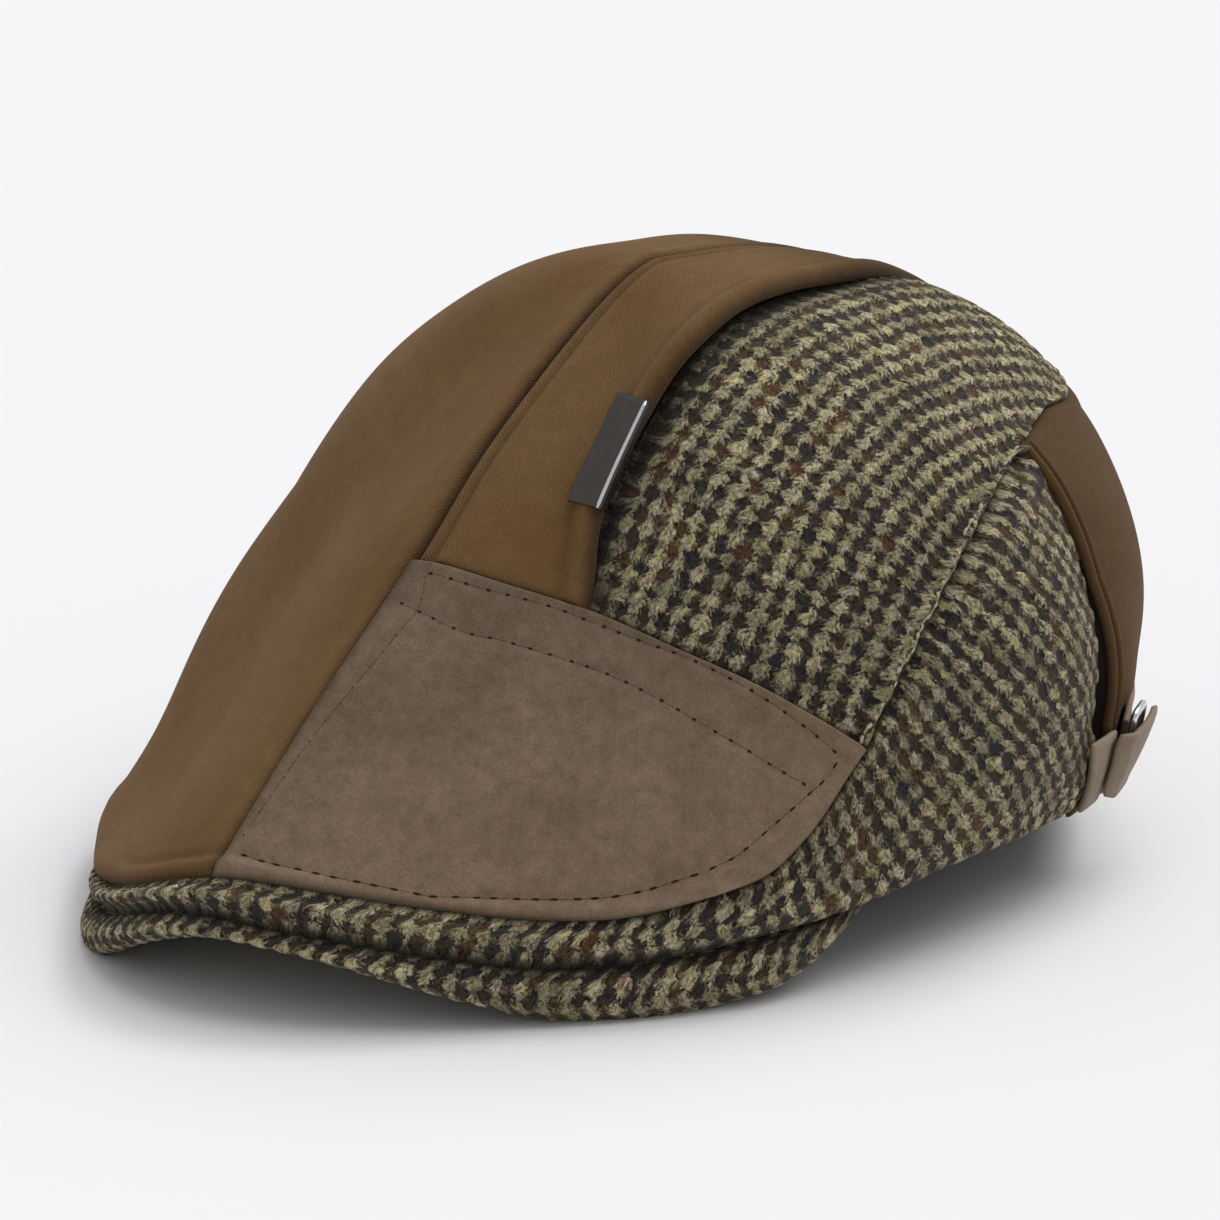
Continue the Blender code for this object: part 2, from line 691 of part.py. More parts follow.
def band_plan(first, last, columns, rows, rounding=0.0, foot=STRAP_FOOT_SHARE):
    """A band along the hem between two angles, its first end rounded."""
    start = first + rounding * (2 * rows[:, None] - 1) ** TONGUE_CORNER_POWER
    angles = start + (last - start) * columns
    shares = foot + (STRAP_TOP_SHARE - foot) * rows[:, None]
    return on_strap(angles, np.broadcast_to(shares, angles.shape))


def make_straps(collection, leather):
    """The strap is sewn on at the right, and its left end runs through the buckle and over the tab."""
    outside = REST_CLEARANCE + STRAP
    rows = spacing(STRAP_ROWS)
    tab = band_plan(TAB_FRONT_ANGLE, TAB_BACK_ANGLE, spacing(TAB_COLUMNS), rows)
    cloth_piece("left_strap_tab", tab, outside, STRAP, collection, leather, gap=0.0)
    strap = band_plan(STRAP_FRONT_ANGLE, 360.0 - TAB_FRONT_ANGLE, spacing(STRAP_COLUMNS), rows)
    cloth_piece("back_strap", strap, outside, STRAP, collection, leather, gap=0.0)
    along = spacing(TONGUE_COLUMNS)
    tongue = band_plan(
        TONGUE_FRONT_ANGLE, TONGUE_BACK_ANGLE, along, rows, rounding=TONGUE_ROUNDING, foot=TONGUE_FOOT_SHARE
    )
    climb = np.clip(along / TONGUE_CLIMB_SHARE, 0.0, 1.0)[None, :]
    cloth_piece("strap_end", tongue, 2 * outside + TONGUE_LIFT * climb, STRAP, collection, leather, gap=0.0)


def wire(name, points, radius, cyclic, collection, look_material):
    curve = bpy.data.curves.new(name, "CURVE")
    curve.dimensions = "3D"
    curve.bevel_depth = radius
    curve.bevel_resolution = 2
    curve.use_fill_caps = not cyclic
    spline = curve.splines.new("POLY")
    spline.points.add(len(points) - 1)
    for point, place in zip(spline.points, points):
        point.co = (*place, 1.0)
    spline.use_cyclic_u = cyclic
    return link(bpy.data.objects.new(name, curve), collection, look_material)


def make_buckle(collection, steel):
    """A wire frame round the strap, in the space between the strap and its folded end."""
    turns = np.linspace(0.0, 2 * pi, BUCKLE_POINTS, endpoint=False)
    along = np.sign(np.cos(turns)) * np.abs(np.cos(turns)) ** BUCKLE_ROUNDING
    up = np.sign(np.sin(turns)) * np.abs(np.sin(turns)) ** BUCKLE_ROUNDING
    middle = (STRAP_TOP_SHARE + STRAP_FOOT_SHARE) / 2
    plan = on_strap(BUCKLE_ANGLE + BUCKLE_HALF_ANGLE * along, middle - BUCKLE_HALF_SHARE * up)
    lift = 2 * REST_CLEARANCE + STRAP + BUCKLE_WIRE
    wire("buckle", on_crown(plan, lift), BUCKLE_WIRE, True, collection, steel)


def make_label(collection, gunmetal):
    """A thin plain plate on the strip's free edge."""
    columns = np.linspace(LABEL_INNER_SHARE, 1.0, LABEL_COLUMNS + 1)
    rows = np.linspace(LABEL_FRONT_SHARE, LABEL_BACK_SHARE, LABEL_ROWS + 1)
    lift = strip_lift(columns, rows) + LABEL_GAP + LABEL
    cloth_piece("label_plate", strip_plan(columns, rows), lift, LABEL, collection, gunmetal, gap=0.0)


def make_pipings(collection, brown):
    """A cord along the back panel's side edges, lying on its cloth."""
    columns, up = spacing(BACK_COLUMNS), np.linspace(0.0, 1.0, PIPING_POINTS)
    plan = back_plan(columns, up)
    beside = int(np.argmin(np.abs(columns - PIPING_SHARE)))
    reaches = slice(int(PIPING_FOOT_SHARE * PIPING_POINTS), int(PIPING_TOP_SHARE * PIPING_POINTS))
    lift = back_lift(plan)[reaches, beside] + PIPING_RADIUS + REST_CLEARANCE
    left = on_crown(plan[reaches, beside], lift)
    wire("left_back_piping", left, PIPING_RADIUS, False, collection, brown)
    wire("right_back_piping", left * (-1.0, 1.0, 1.0), PIPING_RADIUS, False, collection, brown)


def make_floor_cutter(collection):
    """Everything below the resting surface, to flatten what rests on it."""
    bpy.ops.mesh.primitive_cube_add(size=1.0)
    cutter = bpy.context.active_object
    cutter.name = "floor_cutter"
    cutter.scale = (4 * HALF_WIDTH, 4 * FRONT_REACH, CROWN_HEIGHT)
    cutter.location = (0.0, 0.0, -CROWN_HEIGHT / 2)
    cutter.hide_render = True
    cutter.display_type = "WIRE"
    for owner in list(cutter.users_collection):
        owner.objects.unlink(cutter)
    collection.objects.link(cutter)
    return cutter


def main():
    clear_scene()
    cap = bpy.data.collections.new("flat_cap")
    cutters = bpy.data.collections.new("cutters")
    for collection in (cap, cutters):
        bpy.context.scene.collection.children.link(collection)
    floor = make_floor_cutter(cutters)
    brown = material("brown_cloth", BROWN_CLOTH)
    tweed = material("tweed", TWEED)
    suede = material("suede", SUEDE)
    leather = material("leather", LEATHER)
    gunmetal = material("gunmetal", GUNMETAL)
    steel = material("steel", STEEL)
    make_right_top_panel(cap, brown)
    make_centre_strip(cap, brown)
    make_left_top_panel(cap, tweed)
    make_suede_patch(cap, suede)
    make_side_panels(cap, tweed)
    make_back_panel(cap, brown, floor)
    make_peak(cap, tweed, floor)
    make_straps(cap, leather)
    make_buckle(cap, steel)
    make_label(cap, gunmetal)
    make_pipings(cap, brown)


main()
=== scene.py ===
"""The looks of the patchwork flat cap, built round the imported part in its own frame.

Metres, +Z up, the peak towards -Y and the wearer's left towards +X. The crown is the part's own surface: a
point (x, y) of a disc of radius 1 lies on it in the direction of (x, y), 0 being the top of the cap and 1 the
hem. Every piece of cloth is a fine closed sheet over its node's part of the crown, with its seams, folds and
weave. Its edges are its node's, drawn out or in by small amounts where a seam has to close.
"""

from collections import namedtuple
from math import cos, hypot, pi, radians, sin

import bpy
import numpy as np
from mathutils import Matrix, Vector
from mathutils.kdtree import KDTree


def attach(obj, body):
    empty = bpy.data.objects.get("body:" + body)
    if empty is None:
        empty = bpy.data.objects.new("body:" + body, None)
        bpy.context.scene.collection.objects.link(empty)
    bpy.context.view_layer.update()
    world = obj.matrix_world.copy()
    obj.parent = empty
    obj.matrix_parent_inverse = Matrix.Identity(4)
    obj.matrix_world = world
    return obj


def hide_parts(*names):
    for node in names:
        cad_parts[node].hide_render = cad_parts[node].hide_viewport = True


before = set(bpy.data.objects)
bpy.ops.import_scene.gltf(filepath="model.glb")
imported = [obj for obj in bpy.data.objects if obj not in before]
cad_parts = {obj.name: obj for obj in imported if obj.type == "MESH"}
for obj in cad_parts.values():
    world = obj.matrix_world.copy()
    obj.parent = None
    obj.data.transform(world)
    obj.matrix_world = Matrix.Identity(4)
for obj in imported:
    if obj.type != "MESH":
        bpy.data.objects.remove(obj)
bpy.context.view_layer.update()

# Crown
TOP_Y = 0.0146
FRONT_REACH = 0.147
BACK_REACH = 0.108
HALF_WIDTH = 0.096
CROWN_HEIGHT = 0.137
HEM_RISE = 0.0175
CREST_TURN = 8.0
DROOP = 0.0072
DROOP_ANGLES = (8.0, -16.0, -48.0, -85.0)

# Cloth
CLOTH = 0.0022
STRIP_CLOTH = 0.0032
STRIP_PROUD = 0.0026
STRIP_RISE_SHARE = 0.15
STRIP_FALL_START = 0.42
STRIP_FALL_END = 0.66
STRIP_END_RISE = 0.25
STRIP_CLIMB_POWER = 1.5
SUEDE_PROUD = 0.0009
SEAM_DIP = 0.0008
SEAM_DIP_WIDTH = 0.007
REST_CLEARANCE = 0.0004

# Roll of tweed along the front of the crown, and the open seams beside the back panel
FRONT_ROLL_BULGE = 0.0021
FRONT_ROLL_FADE = 12.0
OPEN_SEAM_DEPTH = 0.0036
OPEN_SEAM_WIDTH = 0.012
OPEN_SEAM_START = 0.20
UNDER_STRAP = (0.930, 0.860)

# Peak
HEAD_FRONT_REACH = 0.096
HEAD_HALF_WIDTH = 0.087
PEAK_LIP = 0.0146
PEAK_LIP_WIDTH = 0.0085
PEAK_OVERHANG = 0.0012
PEAK_BOARD = 0.0042
PEAK_PITCH = 0.10
PEAK_HALF_ANGLE = 74.0

# Straps, buckle, label and piping
STRAP = 0.0014
STRAP_TOP_SHARE = 0.880
STRAP_FOOT_SHARE = 0.985
STRAP_SLANT = 0.09
TAB_FRONT_ANGLE = 110.0
STRAP_FRONT_ANGLE = 122.0
TONGUE_FRONT_ANGLE = 118.0
TONGUE_ROUNDING = 2.0
TONGUE_CORNER_POWER = 4
TONGUE_LIFT = 0.0023
BUCKLE_ANGLE = 127.0
BUCKLE_HALF_ANGLE = 3.2
BUCKLE_HALF_SHARE = 0.060
BUCKLE_ROUNDING = 0.5
BUCKLE_WIRE = 0.0008
LABEL = 0.0010
LABEL_GAP = 0.0008
LABEL_INNER_SHARE = 0.76
LABEL_FRONT_SHARE = 0.090
LABEL_BACK_SHARE = 0.232
PIPING_RADIUS = 0.0011

BACK_EDGE_ANGLE = 117.0
ROW_STEP = 30.0

# Points that a smooth line has between two given ones
LINE_STEPS = 24

# One row every 30 degrees from the front round to the back, the same on both sides. reach is a share of the
# ellipse through the four reaches, rise the hem's height as a share of HEM_RISE, lean the angle by which the
# wall leans out above the hem, wall the stretch that keeps this lean as a share of CROWN_HEIGHT, and top the
# level stretch round the top as a share of the reach.
Section = namedtuple("Section", "reach rise lean wall top")
SECTIONS = (
    Section(reach=1.000, rise=1.24, lean=-44, wall=0.32, top=0.21),
    Section(reach=0.990, rise=0.75, lean=-40, wall=0.35, top=0.33),
    Section(reach=1.035, rise=0.82, lean=-1, wall=0.41, top=0.51),
    Section(reach=1.000, rise=1.00, lean=24, wall=0.47, top=0.63),
    Section(reach=0.985, rise=0.87, lean=30, wall=0.52, top=0.70),
    Section(reach=0.990, rise=0.45, lean=20, wall=0.66, top=0.80),
    Section(reach=1.000, rise=-0.11, lean=24, wall=0.67, top=0.78),
)

# Edges of the pieces, as rows of an angle from the front, in degrees, and a distance from the top on the disc
Edge = namedtuple("Edge", "angle share")
FRONT_EDGE = (
    Edge(-71.5, 0.800),
    Edge(-63, 0.885),
    Edge(-52, 0.950),
    Edge(-36, 0.957),
    Edge(-16, 0.944),
    Edge(0, 0.940),
    Edge(20, 0.935),
    Edge(40, 0.940),
    Edge(55, 0.925),
    Edge(63, 0.885),
    Edge(71.5, 0.800),
)
SIDE_SEAM = (Edge(71.5, 0.800), Edge(78, 0.720), Edge(85, 0.650), Edge(95, 0.570), Edge(115, 0.485))
BACK_TOP = (Edge(115, 0.485), Edge(130, 0.475), Edge(148, 0.515), Edge(180, 0.515))

# Edges on the top of the crown, as points of the disc, and the angles at which they meet the edges above
Spot = namedtuple("Spot", "x y")
SEAM_FRONT_ANGLE = 5.0
STRIP_BACK_ANGLE = 172.0
SUEDE_CORNER_ANGLE = 52.0
SEAM_AT_SUEDE = Spot(0.065, -0.545)
SEAM_BELOW_SUEDE = (Spot(0.070, -0.730),)
SEAM_ABOVE_SUEDE = (Spot(0.046, -0.420), Spot(0.036, -0.250), Spot(0.015, 0.050), Spot(0.000, 0.300))
STRIP_AT_SUEDE = Spot(0.335, -0.480)
STRIP_MIDDLE = (
    Spot(0.276, -0.380), Spot(0.256, -0.247), Spot(0.192, -0.010), Spot(0.122, 0.190), Spot(0.088, 0.350),
)
SUEDE_OVER_STRIP = (Spot(0.200, -0.522),)
SUEDE_BESIDE_STRIP = (Spot(0.487, -0.425), Spot(0.630, -0.345))

# Soft creases in the cloth: from one point of the disc to another, how deep and how wide. The one whose depth
# is below zero is a fuller place, at the wearer's right front.
Crease = namedtuple("Crease", "start end depth width")
CREASES = (
    Crease(start=Spot(-0.20, -0.80), end=Spot(-0.42, -0.30), depth=0.0010, width=0.010),
    Crease(start=Spot(-0.64, -0.25), end=Spot(-0.545, -0.92), depth=-0.0060, width=0.026),
    Crease(start=Spot(0.55, 0.30), end=Spot(0.58, 0.72), depth=0.0014, width=0.009),
    Crease(start=Spot(-0.55, 0.30), end=Spot(-0.58, 0.72), depth=0.0014, width=0.009),
    Crease(start=Spot(0.30, 0.60), end=Spot(0.34, 0.93), depth=0.0016, width=0.010),
    Crease(start=Spot(-0.28, 0.60), end=Spot(-0.36, 0.93), depth=0.0016, width=0.010),
)

# How deep the peak's lip hangs, as shares of PEAK_LIP, every 30 degrees
PEAK_LIP_SHARES = (0.35, 0.86, 0.74, 0.10)

# The peak's outer face, from its top down to its foot and in: how far in from the hem as a share of
# PEAK_OVERHANG, then as a share of PEAK_LIP_WIDTH, and how far down as a share of the peak's height there
LipPoint = namedtuple("LipPoint", "inward down")
PEAK_FACE = (
    LipPoint(inward=2.4, down=0.02),
    LipPoint(inward=0.0, down=0.14),
    LipPoint(inward=-1.1, down=0.42),
    LipPoint(inward=-0.7, down=0.70),
    LipPoint(inward=1.0, down=0.92),
)
PEAK_FOOT = (LipPoint(inward=0.35, down=1.0), LipPoint(inward=0.65, down=0.94))
PEAK_BOARD_SHARE = 0.7
PEAK_BOARD_STEP_SHARE = 0.1


def curve_between(before, here, after, next_after, part):
    """A smooth curve from here to after, at this part of the way, led by the values on either side."""
    return 0.5 * (
        2 * here
        + (after - before) * part
        + (2 * before - 5 * here + 4 * after - next_after) * part**2
        + (3 * here - before - 3 * after + next_after) * part**3
    )


def between_rows(angle, values, even_back=True):
    """A smooth value at an angle in degrees from values every ROW_STEP degrees, even about the front."""
    place = np.abs((np.asarray(angle, float) + 180.0) % 360.0 - 180.0) / ROW_STEP
    last = len(values) - 1
    row = np.clip(place.astype(int), 0, last - 1)
    part = np.clip(place - row, 0.0, 1.0)
    beyond = values[-2] if even_back else values[-1]
    padded = np.array([values[1], *values, beyond], float)
    return curve_between(*(padded[row + k] for k in range(4)), part)


def column(name):
    return [getattr(row, name) for row in SECTIONS]


def reach_at(angle):
    """The hem's distance from the middle, in plan."""
    turn = np.radians(angle)
    long_reach = np.where(np.cos(turn) > 0, FRONT_REACH, BACK_REACH)
    ellipse = 1.0 / np.hypot(np.sin(turn) / HALF_WIDTH, np.cos(turn) / long_reach)
    return ellipse * between_rows(angle, column("reach"))


def bell(distance, width):
    """1 where the distance is 0, falling off smoothly over about this width."""
    return np.exp(-((distance / width) ** 2))


def run_along(line):
    """How far along a line each of its points lies."""
    return np.concatenate([[0.0], np.cumsum(np.linalg.norm(np.diff(line, axis=0), axis=1))])


def places_along(line, run, wanted):
    """The points of a line where its measure has the wanted values."""
    return np.stack([np.interp(wanted, run, line[:, axis]) for axis in range(line.shape[1])], -1)


def from_crest(angle):
    """The angle from where the front of the hem stands highest, a little to the left of the front."""
    return angle - CREST_TURN * np.maximum(0.0, np.cos(np.radians(angle)))


def eased(value, start, end):
    """0 before the start, 1 after the end, and smooth between them."""
    part = np.clip((np.asarray(value, float) - start) / (end - start), 0.0, 1.0)
    return part * part * (3 - 2 * part)


def hem_height(angle):
    """The hem's height: even about its crest, but for the front right, which droops towards the floor."""
    first, full, fading, last = DROOP_ANGLES
    droop = DROOP * eased(angle, first, full) * eased(angle, last, fading)
    return HEM_RISE * between_rows(from_crest(angle), column("rise")) - droop


def crown_surface(x, y):
    """The crown's outer surface over points of the disc: a cubic curve from the top down to the hem."""
    share = np.hypot(x, y)
    angle = np.degrees(np.arctan2(x, -y))
    reach = reach_at(angle)
    hem = hem_height(angle)
    lean = np.radians(between_rows(angle, column("lean")))
    wall = CROWN_HEIGHT * between_rows(angle, column("wall"))
    top = reach * between_rows(angle, column("top"))
    rest = 1.0 - share
    first, second = 3 * share * rest**2, 3 * share**2 * rest
    across = first * top + second * (reach + wall * np.sin(lean)) + share**3 * reach
    height = (rest**3 + first) * CROWN_HEIGHT + second * (hem + wall * np.cos(lean)) + share**3 * hem
    turn = np.radians(angle)
    return np.stack([across * np.sin(turn), TOP_Y - across * np.cos(turn), height], -1)


def crown_normal(x, y):
    step = 0.004
    along_x = crown_surface(x + step, y) - crown_surface(x - step, y)
    along_y = crown_surface(x, y + step) - crown_surface(x, y - step)
    normal = np.cross(along_x, along_y)
    return normal / np.linalg.norm(normal, axis=-1, keepdims=True)


def on_crown(plan, lift=0.0):
    """Points of the disc set on the crown, lifted off it by so many metres."""
    x, y = plan[..., 0], plan[..., 1]
    lift = np.broadcast_to(np.asarray(lift, float), x.shape)
    return crown_surface(x, y) + crown_normal(x, y) * lift[..., None]


def polar(angle, share):
    turn = np.radians(angle)
    return np.stack([share * np.sin(turn), -share * np.cos(turn)], -1)


def spots(*edges):
    return [polar(edge.angle, edge.share) for edge in edges]


def smooth_line(points):
    """A fine smooth line through these points."""
    points = np.array(points, float)
    padded = np.vstack([2 * points[0] - points[1], points, 2 * points[-1] - points[-2]])
    part = np.linspace(0.0, 1.0, LINE_STEPS, endpoint=False)[:, None]
    line = [curve_between(*four, part) for four in zip(padded, padded[1:], padded[2:], padded[3:])]
    return np.vstack([*line, points[-1:]])


def stretch_of(line, measure, first, last, shares):
    """The part of a fine line over which a measure runs from first to last, at these shares of the way."""
    values = measure(line)
    order = np.argsort(values)
    wanted = first + (last - first) * shares
    return places_along(line[order], values[order], wanted)


def along_x(line):
    return line[..., 0]


def along_y(line):
    return line[..., 1]


def around(line):
    """Angles from the front, in degrees: positive on the left."""
    return np.degrees(np.arctan2(line[..., 0], -line[..., 1]))


def around_back(line):
    return around(line) % 360.0


SIDE_TIP = Spot(*polar(SIDE_SEAM[0].angle, SIDE_SEAM[0].share))


def mirrored(line):
    return np.asarray(line) * (-1.0, 1.0)


def patch_between(near, far, left, right, columns, rows):
    """A grid of disc points between four edges that meet at their ends, each a function of shares of itself."""
    across, along = columns[None, :, None], rows[:, None, None]
    ruled = (1 - along) * near(columns)[None] + along * far(columns)[None]
    sideways = (1 - across) * left(rows)[:, None] + across * right(rows)[:, None]
    ends = np.array([0.0, 1.0])
    (near_left, near_right), (far_left, far_right) = near(ends), far(ends)
    corners = (1 - along) * ((1 - across) * near_left + across * near_right) + along * (
        (1 - across) * far_left + across * far_right
    )
    return ruled + sideways - corners


def distance_to(points, start, end):
    """How far points on the crown lie from a straight run between two disc points, and how far along it."""
    first = on_crown(np.array(start, float))
    second = on_crown(np.array(end, float))
    run = second - first
    part = np.clip(((points - first) @ run) / (run @ run), 0.0, 1.0)
    return np.linalg.norm(points - first - part[..., None] * run, axis=-1), part


def crease_lift(plan):
    points = on_crown(plan)
    lift = np.zeros(points.shape[:-1])
    for crease in CREASES:
        away, part = distance_to(points, crease.start, crease.end)
        lift -= crease.depth * bell(away, crease.width) * np.sin(pi * part)
    return lift


def front_edge(first, last, shares):
    """The lower edge of the top pieces over the front roll, between two angles."""
    return stretch_of(smooth_line(spots(*FRONT_EDGE)), around, first, last, shares)


def side_seam(shares):
    return stretch_of(smooth_line(spots(*SIDE_SEAM)), around, SIDE_SEAM[0].angle, SIDE_SEAM[-1].angle, shares)


def back_top(first, last, shares):
    """The upper edge of the back panel, between two angles."""
    left = spots(*BACK_TOP)
    right = [spot * (-1.0, 1.0) for spot in left[-2::-1]]
    return stretch_of(smooth_line([*left, *right]), around_back, first, last, shares)


def suede_top(first_x, last_x, shares):
    tip = polar(SIDE_SEAM[0].angle, SIDE_SEAM[0].share)
    line = [SEAM_AT_SUEDE, *SUEDE_OVER_STRIP, STRIP_AT_SUEDE, *SUEDE_BESIDE_STRIP, tip]
    return stretch_of(smooth_line(line), along_x, first_x, last_x, shares)


def centre_seam(first_y, last_y, shares):
    front, back = seam_ends()
    line = [front, *SEAM_BELOW_SUEDE, SEAM_AT_SUEDE, *SEAM_ABOVE_SUEDE, back]
    return stretch_of(smooth_line(line), along_y, first_y, last_y, shares)


def seam_ends():
    front = front_edge(SEAM_FRONT_ANGLE, SEAM_FRONT_ANGLE, np.zeros(1))[0]
    back = back_top(180.0, 180.0, np.zeros(1))[0]
    return front, back


def strip_edge(shares):
    back = back_top(STRIP_BACK_ANGLE, STRIP_BACK_ANGLE, np.zeros(1))[0]
    line = smooth_line([STRIP_AT_SUEDE, *STRIP_MIDDLE, back])
    return stretch_of(line, along_y, STRIP_AT_SUEDE.y, back[1], shares)


def strip_plan(columns, rows):
    back = seam_ends()[1]
    return patch_between(
        near=lambda shares: suede_top(SEAM_AT_SUEDE.x, STRIP_AT_SUEDE.x, shares),
        far=lambda shares: back_top(180.0, STRIP_BACK_ANGLE, shares),
        left=lambda shares: centre_seam(SEAM_AT_SUEDE.y, back[1], shares),
        right=strip_edge,
        columns=columns,
        rows=rows,
    )


def strip_lift(columns, rows):
    """The strip climbs from the centre seam to its free edge, and less where the suede covers its end."""
    climb = columns[None, :] ** STRIP_CLIMB_POWER
    front = rows / STRIP_RISE_SHARE
    back = (STRIP_FALL_END - rows) / (STRIP_FALL_END - STRIP_FALL_START)
    rise = np.clip(np.minimum(front, back), STRIP_END_RISE, 1.0)[:, None]
    return STRIP_PROUD * climb * rise


def from_hem(hem_angles, upper, up):
    """A grid of disc points from the hem, at these angles, straight up to the points of an upper edge."""
    hem = polar(hem_angles, np.ones(len(hem_angles)))
    return (1 - up[:, None, None]) * hem[None] + up[:, None, None] * upper[None]


def open_seam_fold(plan, border):
    """How far the cloth turns in along an open seam beside the back panel."""
    points = on_crown(plan)
    away = np.linalg.norm(points - points[:, border], axis=-1)
    share = np.hypot(plan[..., 0], plan[..., 1])
    opening = np.clip((share - SIDE_SEAM[-1].share) / OPEN_SEAM_START, 0.0, 1.0) * eased(share, *UNDER_STRAP)
    return OPEN_SEAM_DEPTH * opening * bell(away, OPEN_SEAM_WIDTH)


def side_bulge(plan, up):
    front = np.clip((SIDE_SEAM[0].angle - np.abs(around(plan))) / FRONT_ROLL_FADE, 0.0, 1.0)
    return FRONT_ROLL_BULGE * np.sin(pi * up[:, None]) ** 2 * front


def side_lift(plan, up):
    """The front roll bulges, and the back edge turns in to the open seam."""
    return side_bulge(plan, up) - open_seam_fold(plan, slice(-1, None))


def back_plan(columns, up):
    upper = back_top(BACK_TOP[0].angle, 360.0 - BACK_TOP[0].angle, columns)
    spread = (180.0 - BACK_EDGE_ANGLE) / (180.0 - BACK_TOP[0].angle)
    return from_hem(180.0 + (around_back(upper) - 180.0) * spread, upper, up)


def groove_rise(angle):
    """How much higher the groove between the two front rolls runs at the wearer's right front."""
    return GROOVE_RISE * eased(angle, *GROOVE_RISE_LEFT) * eased(angle, *GROOVE_RISE_RIGHT)


def peak_section(angle):
    """The peak's outline in the upright plane at an angle: distances from the middle, and heights."""
    rim = polar(angle, 1.0)
    reach = float(reach_at(angle))
    hem = float(hem_height(angle))
    cloth_drop = CLOTH * max(0.0, float(crown_normal(rim[0], rim[1])[2]))
    lip = PEAK_LIP * float(between_rows(from_crest(angle), PEAK_LIP_SHARES, even_back=False))
    turn = radians(angle)
    depth = reach - 1.0 / hypot(sin(turn) / HEAD_HALF_WIDTH, cos(turn) / HEAD_FRONT_REACH)
    top = hem - REST_CLEARANCE - cloth_drop + float(groove_rise(angle))
    tall = top - (hem - lip)
    board = min(PEAK_BOARD, PEAK_BOARD_SHARE * tall)
    board_end = top + PEAK_PITCH * (depth - PEAK_LIP_WIDTH)
    middle = (PEAK_LIP_WIDTH + depth) / 2
    outline = (
        *((point.inward * PEAK_OVERHANG, top - point.down * tall) for point in PEAK_FACE),
        *((point.inward * PEAK_LIP_WIDTH, top - point.down * tall) for point in PEAK_FOOT),
        (PEAK_LIP_WIDTH, top - board - PEAK_BOARD_STEP_SHARE * tall),
        (middle, (top + board_end) / 2 - board),
        (depth, board_end - board),
        (depth, board_end),
        (middle, (top + board_end) / 2),
        (PEAK_LIP_WIDTH, top),
    )
    return [(reach - inward, height) for inward, height in outline]


def on_strap(angle, share):
    """Disc points from an angle at the strap's top edge, slanting towards the back further down."""
    down = (share - STRAP_TOP_SHARE) / (STRAP_FOOT_SHARE - STRAP_TOP_SHARE)
    return polar(180.0 + (angle - 180.0) * (1.0 - STRAP_SLANT * down), share)


def band_plan(first, last, columns, rows, rounding=0.0, foot=STRAP_FOOT_SHARE):
    """A band along the hem between two angles, its first end rounded."""
    start = first + rounding * (2 * rows[:, None] - 1) ** TONGUE_CORNER_POWER
    angles = start + (last - start) * columns
    shares = foot + (STRAP_TOP_SHARE - foot) * rows[:, None]
    return on_strap(angles, np.broadcast_to(shares, angles.shape))

# The photograph's view
CAMERA_AZIMUTH = 46.0
CAMERA_ELEVATION = 16.0
CAMERA_DISTANCE = 1.10
CAMERA_LENS = 144.3
SENSOR = 36.0
CAMERA_AIM = (0.0, 0.0146, 0.060)
CAMERA_SHIFT_RIGHT = -0.010
CAMERA_SHIFT_UP = -0.005

# Fine grids
TWEED_STEP = 0.00062
FAR_TWEED_STEP = 0.0010
PLAIN_STEP = 0.0011
EDGE_BAND = 0.0012
COARSE = 4

# Weave: the check's periods across and along its columns, and how far its light yarns stand up
WEAVE_ACROSS = 0.0050
WEAVE_ALONG = 0.0051
WEAVE_RELIEF = 0.00048
COLUMN_SHARE = 0.54
SPOT_SLANT = 0.30

# Stitches
STITCH_PITCH = 0.0042
STITCH_SHARE = 0.78


# Lights: how strong, how wide in degrees, and how far each leans towards the viewer and to the right
Lamp = namedtuple("Lamp", "name strength angle lean")
SURROUND = 0.50
LAMPS = (
    Lamp("broad_light", strength=1.00, angle=60.0, lean=(0.12, -0.38)),
    Lamp("back_light", strength=1.07, angle=32.0, lean=(0.69, -0.65)),
)

# Front rolls: how much higher the groove between them runs at the wearer's right front
GROOVE_RISE = 0.0014
GROOVE_RISE_LEFT = (14.0, 0.0)
GROOVE_RISE_RIGHT = (-62.0, -40.0)

# Brown cloth's lower edge at the wearer's right front, the strip's raised edge, and the tweed's dip beside it
HEM_STITCH = 0.0052
BROWN_PROUD = 0.0009
BROWN_CORNER = 0.0022
BROWN_REACH = 0.0046
EDGE_LIFT = 0.0021
STRIP_BACK_FADE = (0.046, 0.100)
STRIP_SHADOW_DIP = 0.0022

# Radius of the round over which the tweed's columns are measured across the crown
CROWN_ROUND = 0.095

# The slit of the open seams beside the back panel
SLIT_TOP_SHARE = 0.62
SLIT_FOOT_SHARE = 0.87
SLIT_DEPTH = 0.0045
SLIT_WIDTH = 0.0052
SLIT_TUCK = 0.0032

# Weave of the side panels: how far it turns over the ear, and where along the panel
SIDE_BIAS = 31.0
FAR_BIAS_LATER = 0.035
BIAS_START = 0.075
BIAS_END = 0.125

# Strap: how far it sinks into the cloth past the buckle, and its end
STRAP_PRESS = 0.0017
STRAP_PRESS_ANGLES = (121.0, 130.0)
STRAP_PRESS_SHARES = (0.864, 0.886)
TONGUE_START_ANGLE = 115.2
TONGUE_END_ANGLE = 130.0
TONGUE_SHORTER = 0.012

# Peak: its grid, and how long its ends take to close
PEAK_ANGLE_STEPS = 460
PEAK_OUTLINE_STEPS = 6
PEAK_END_LENGTH = 0.024

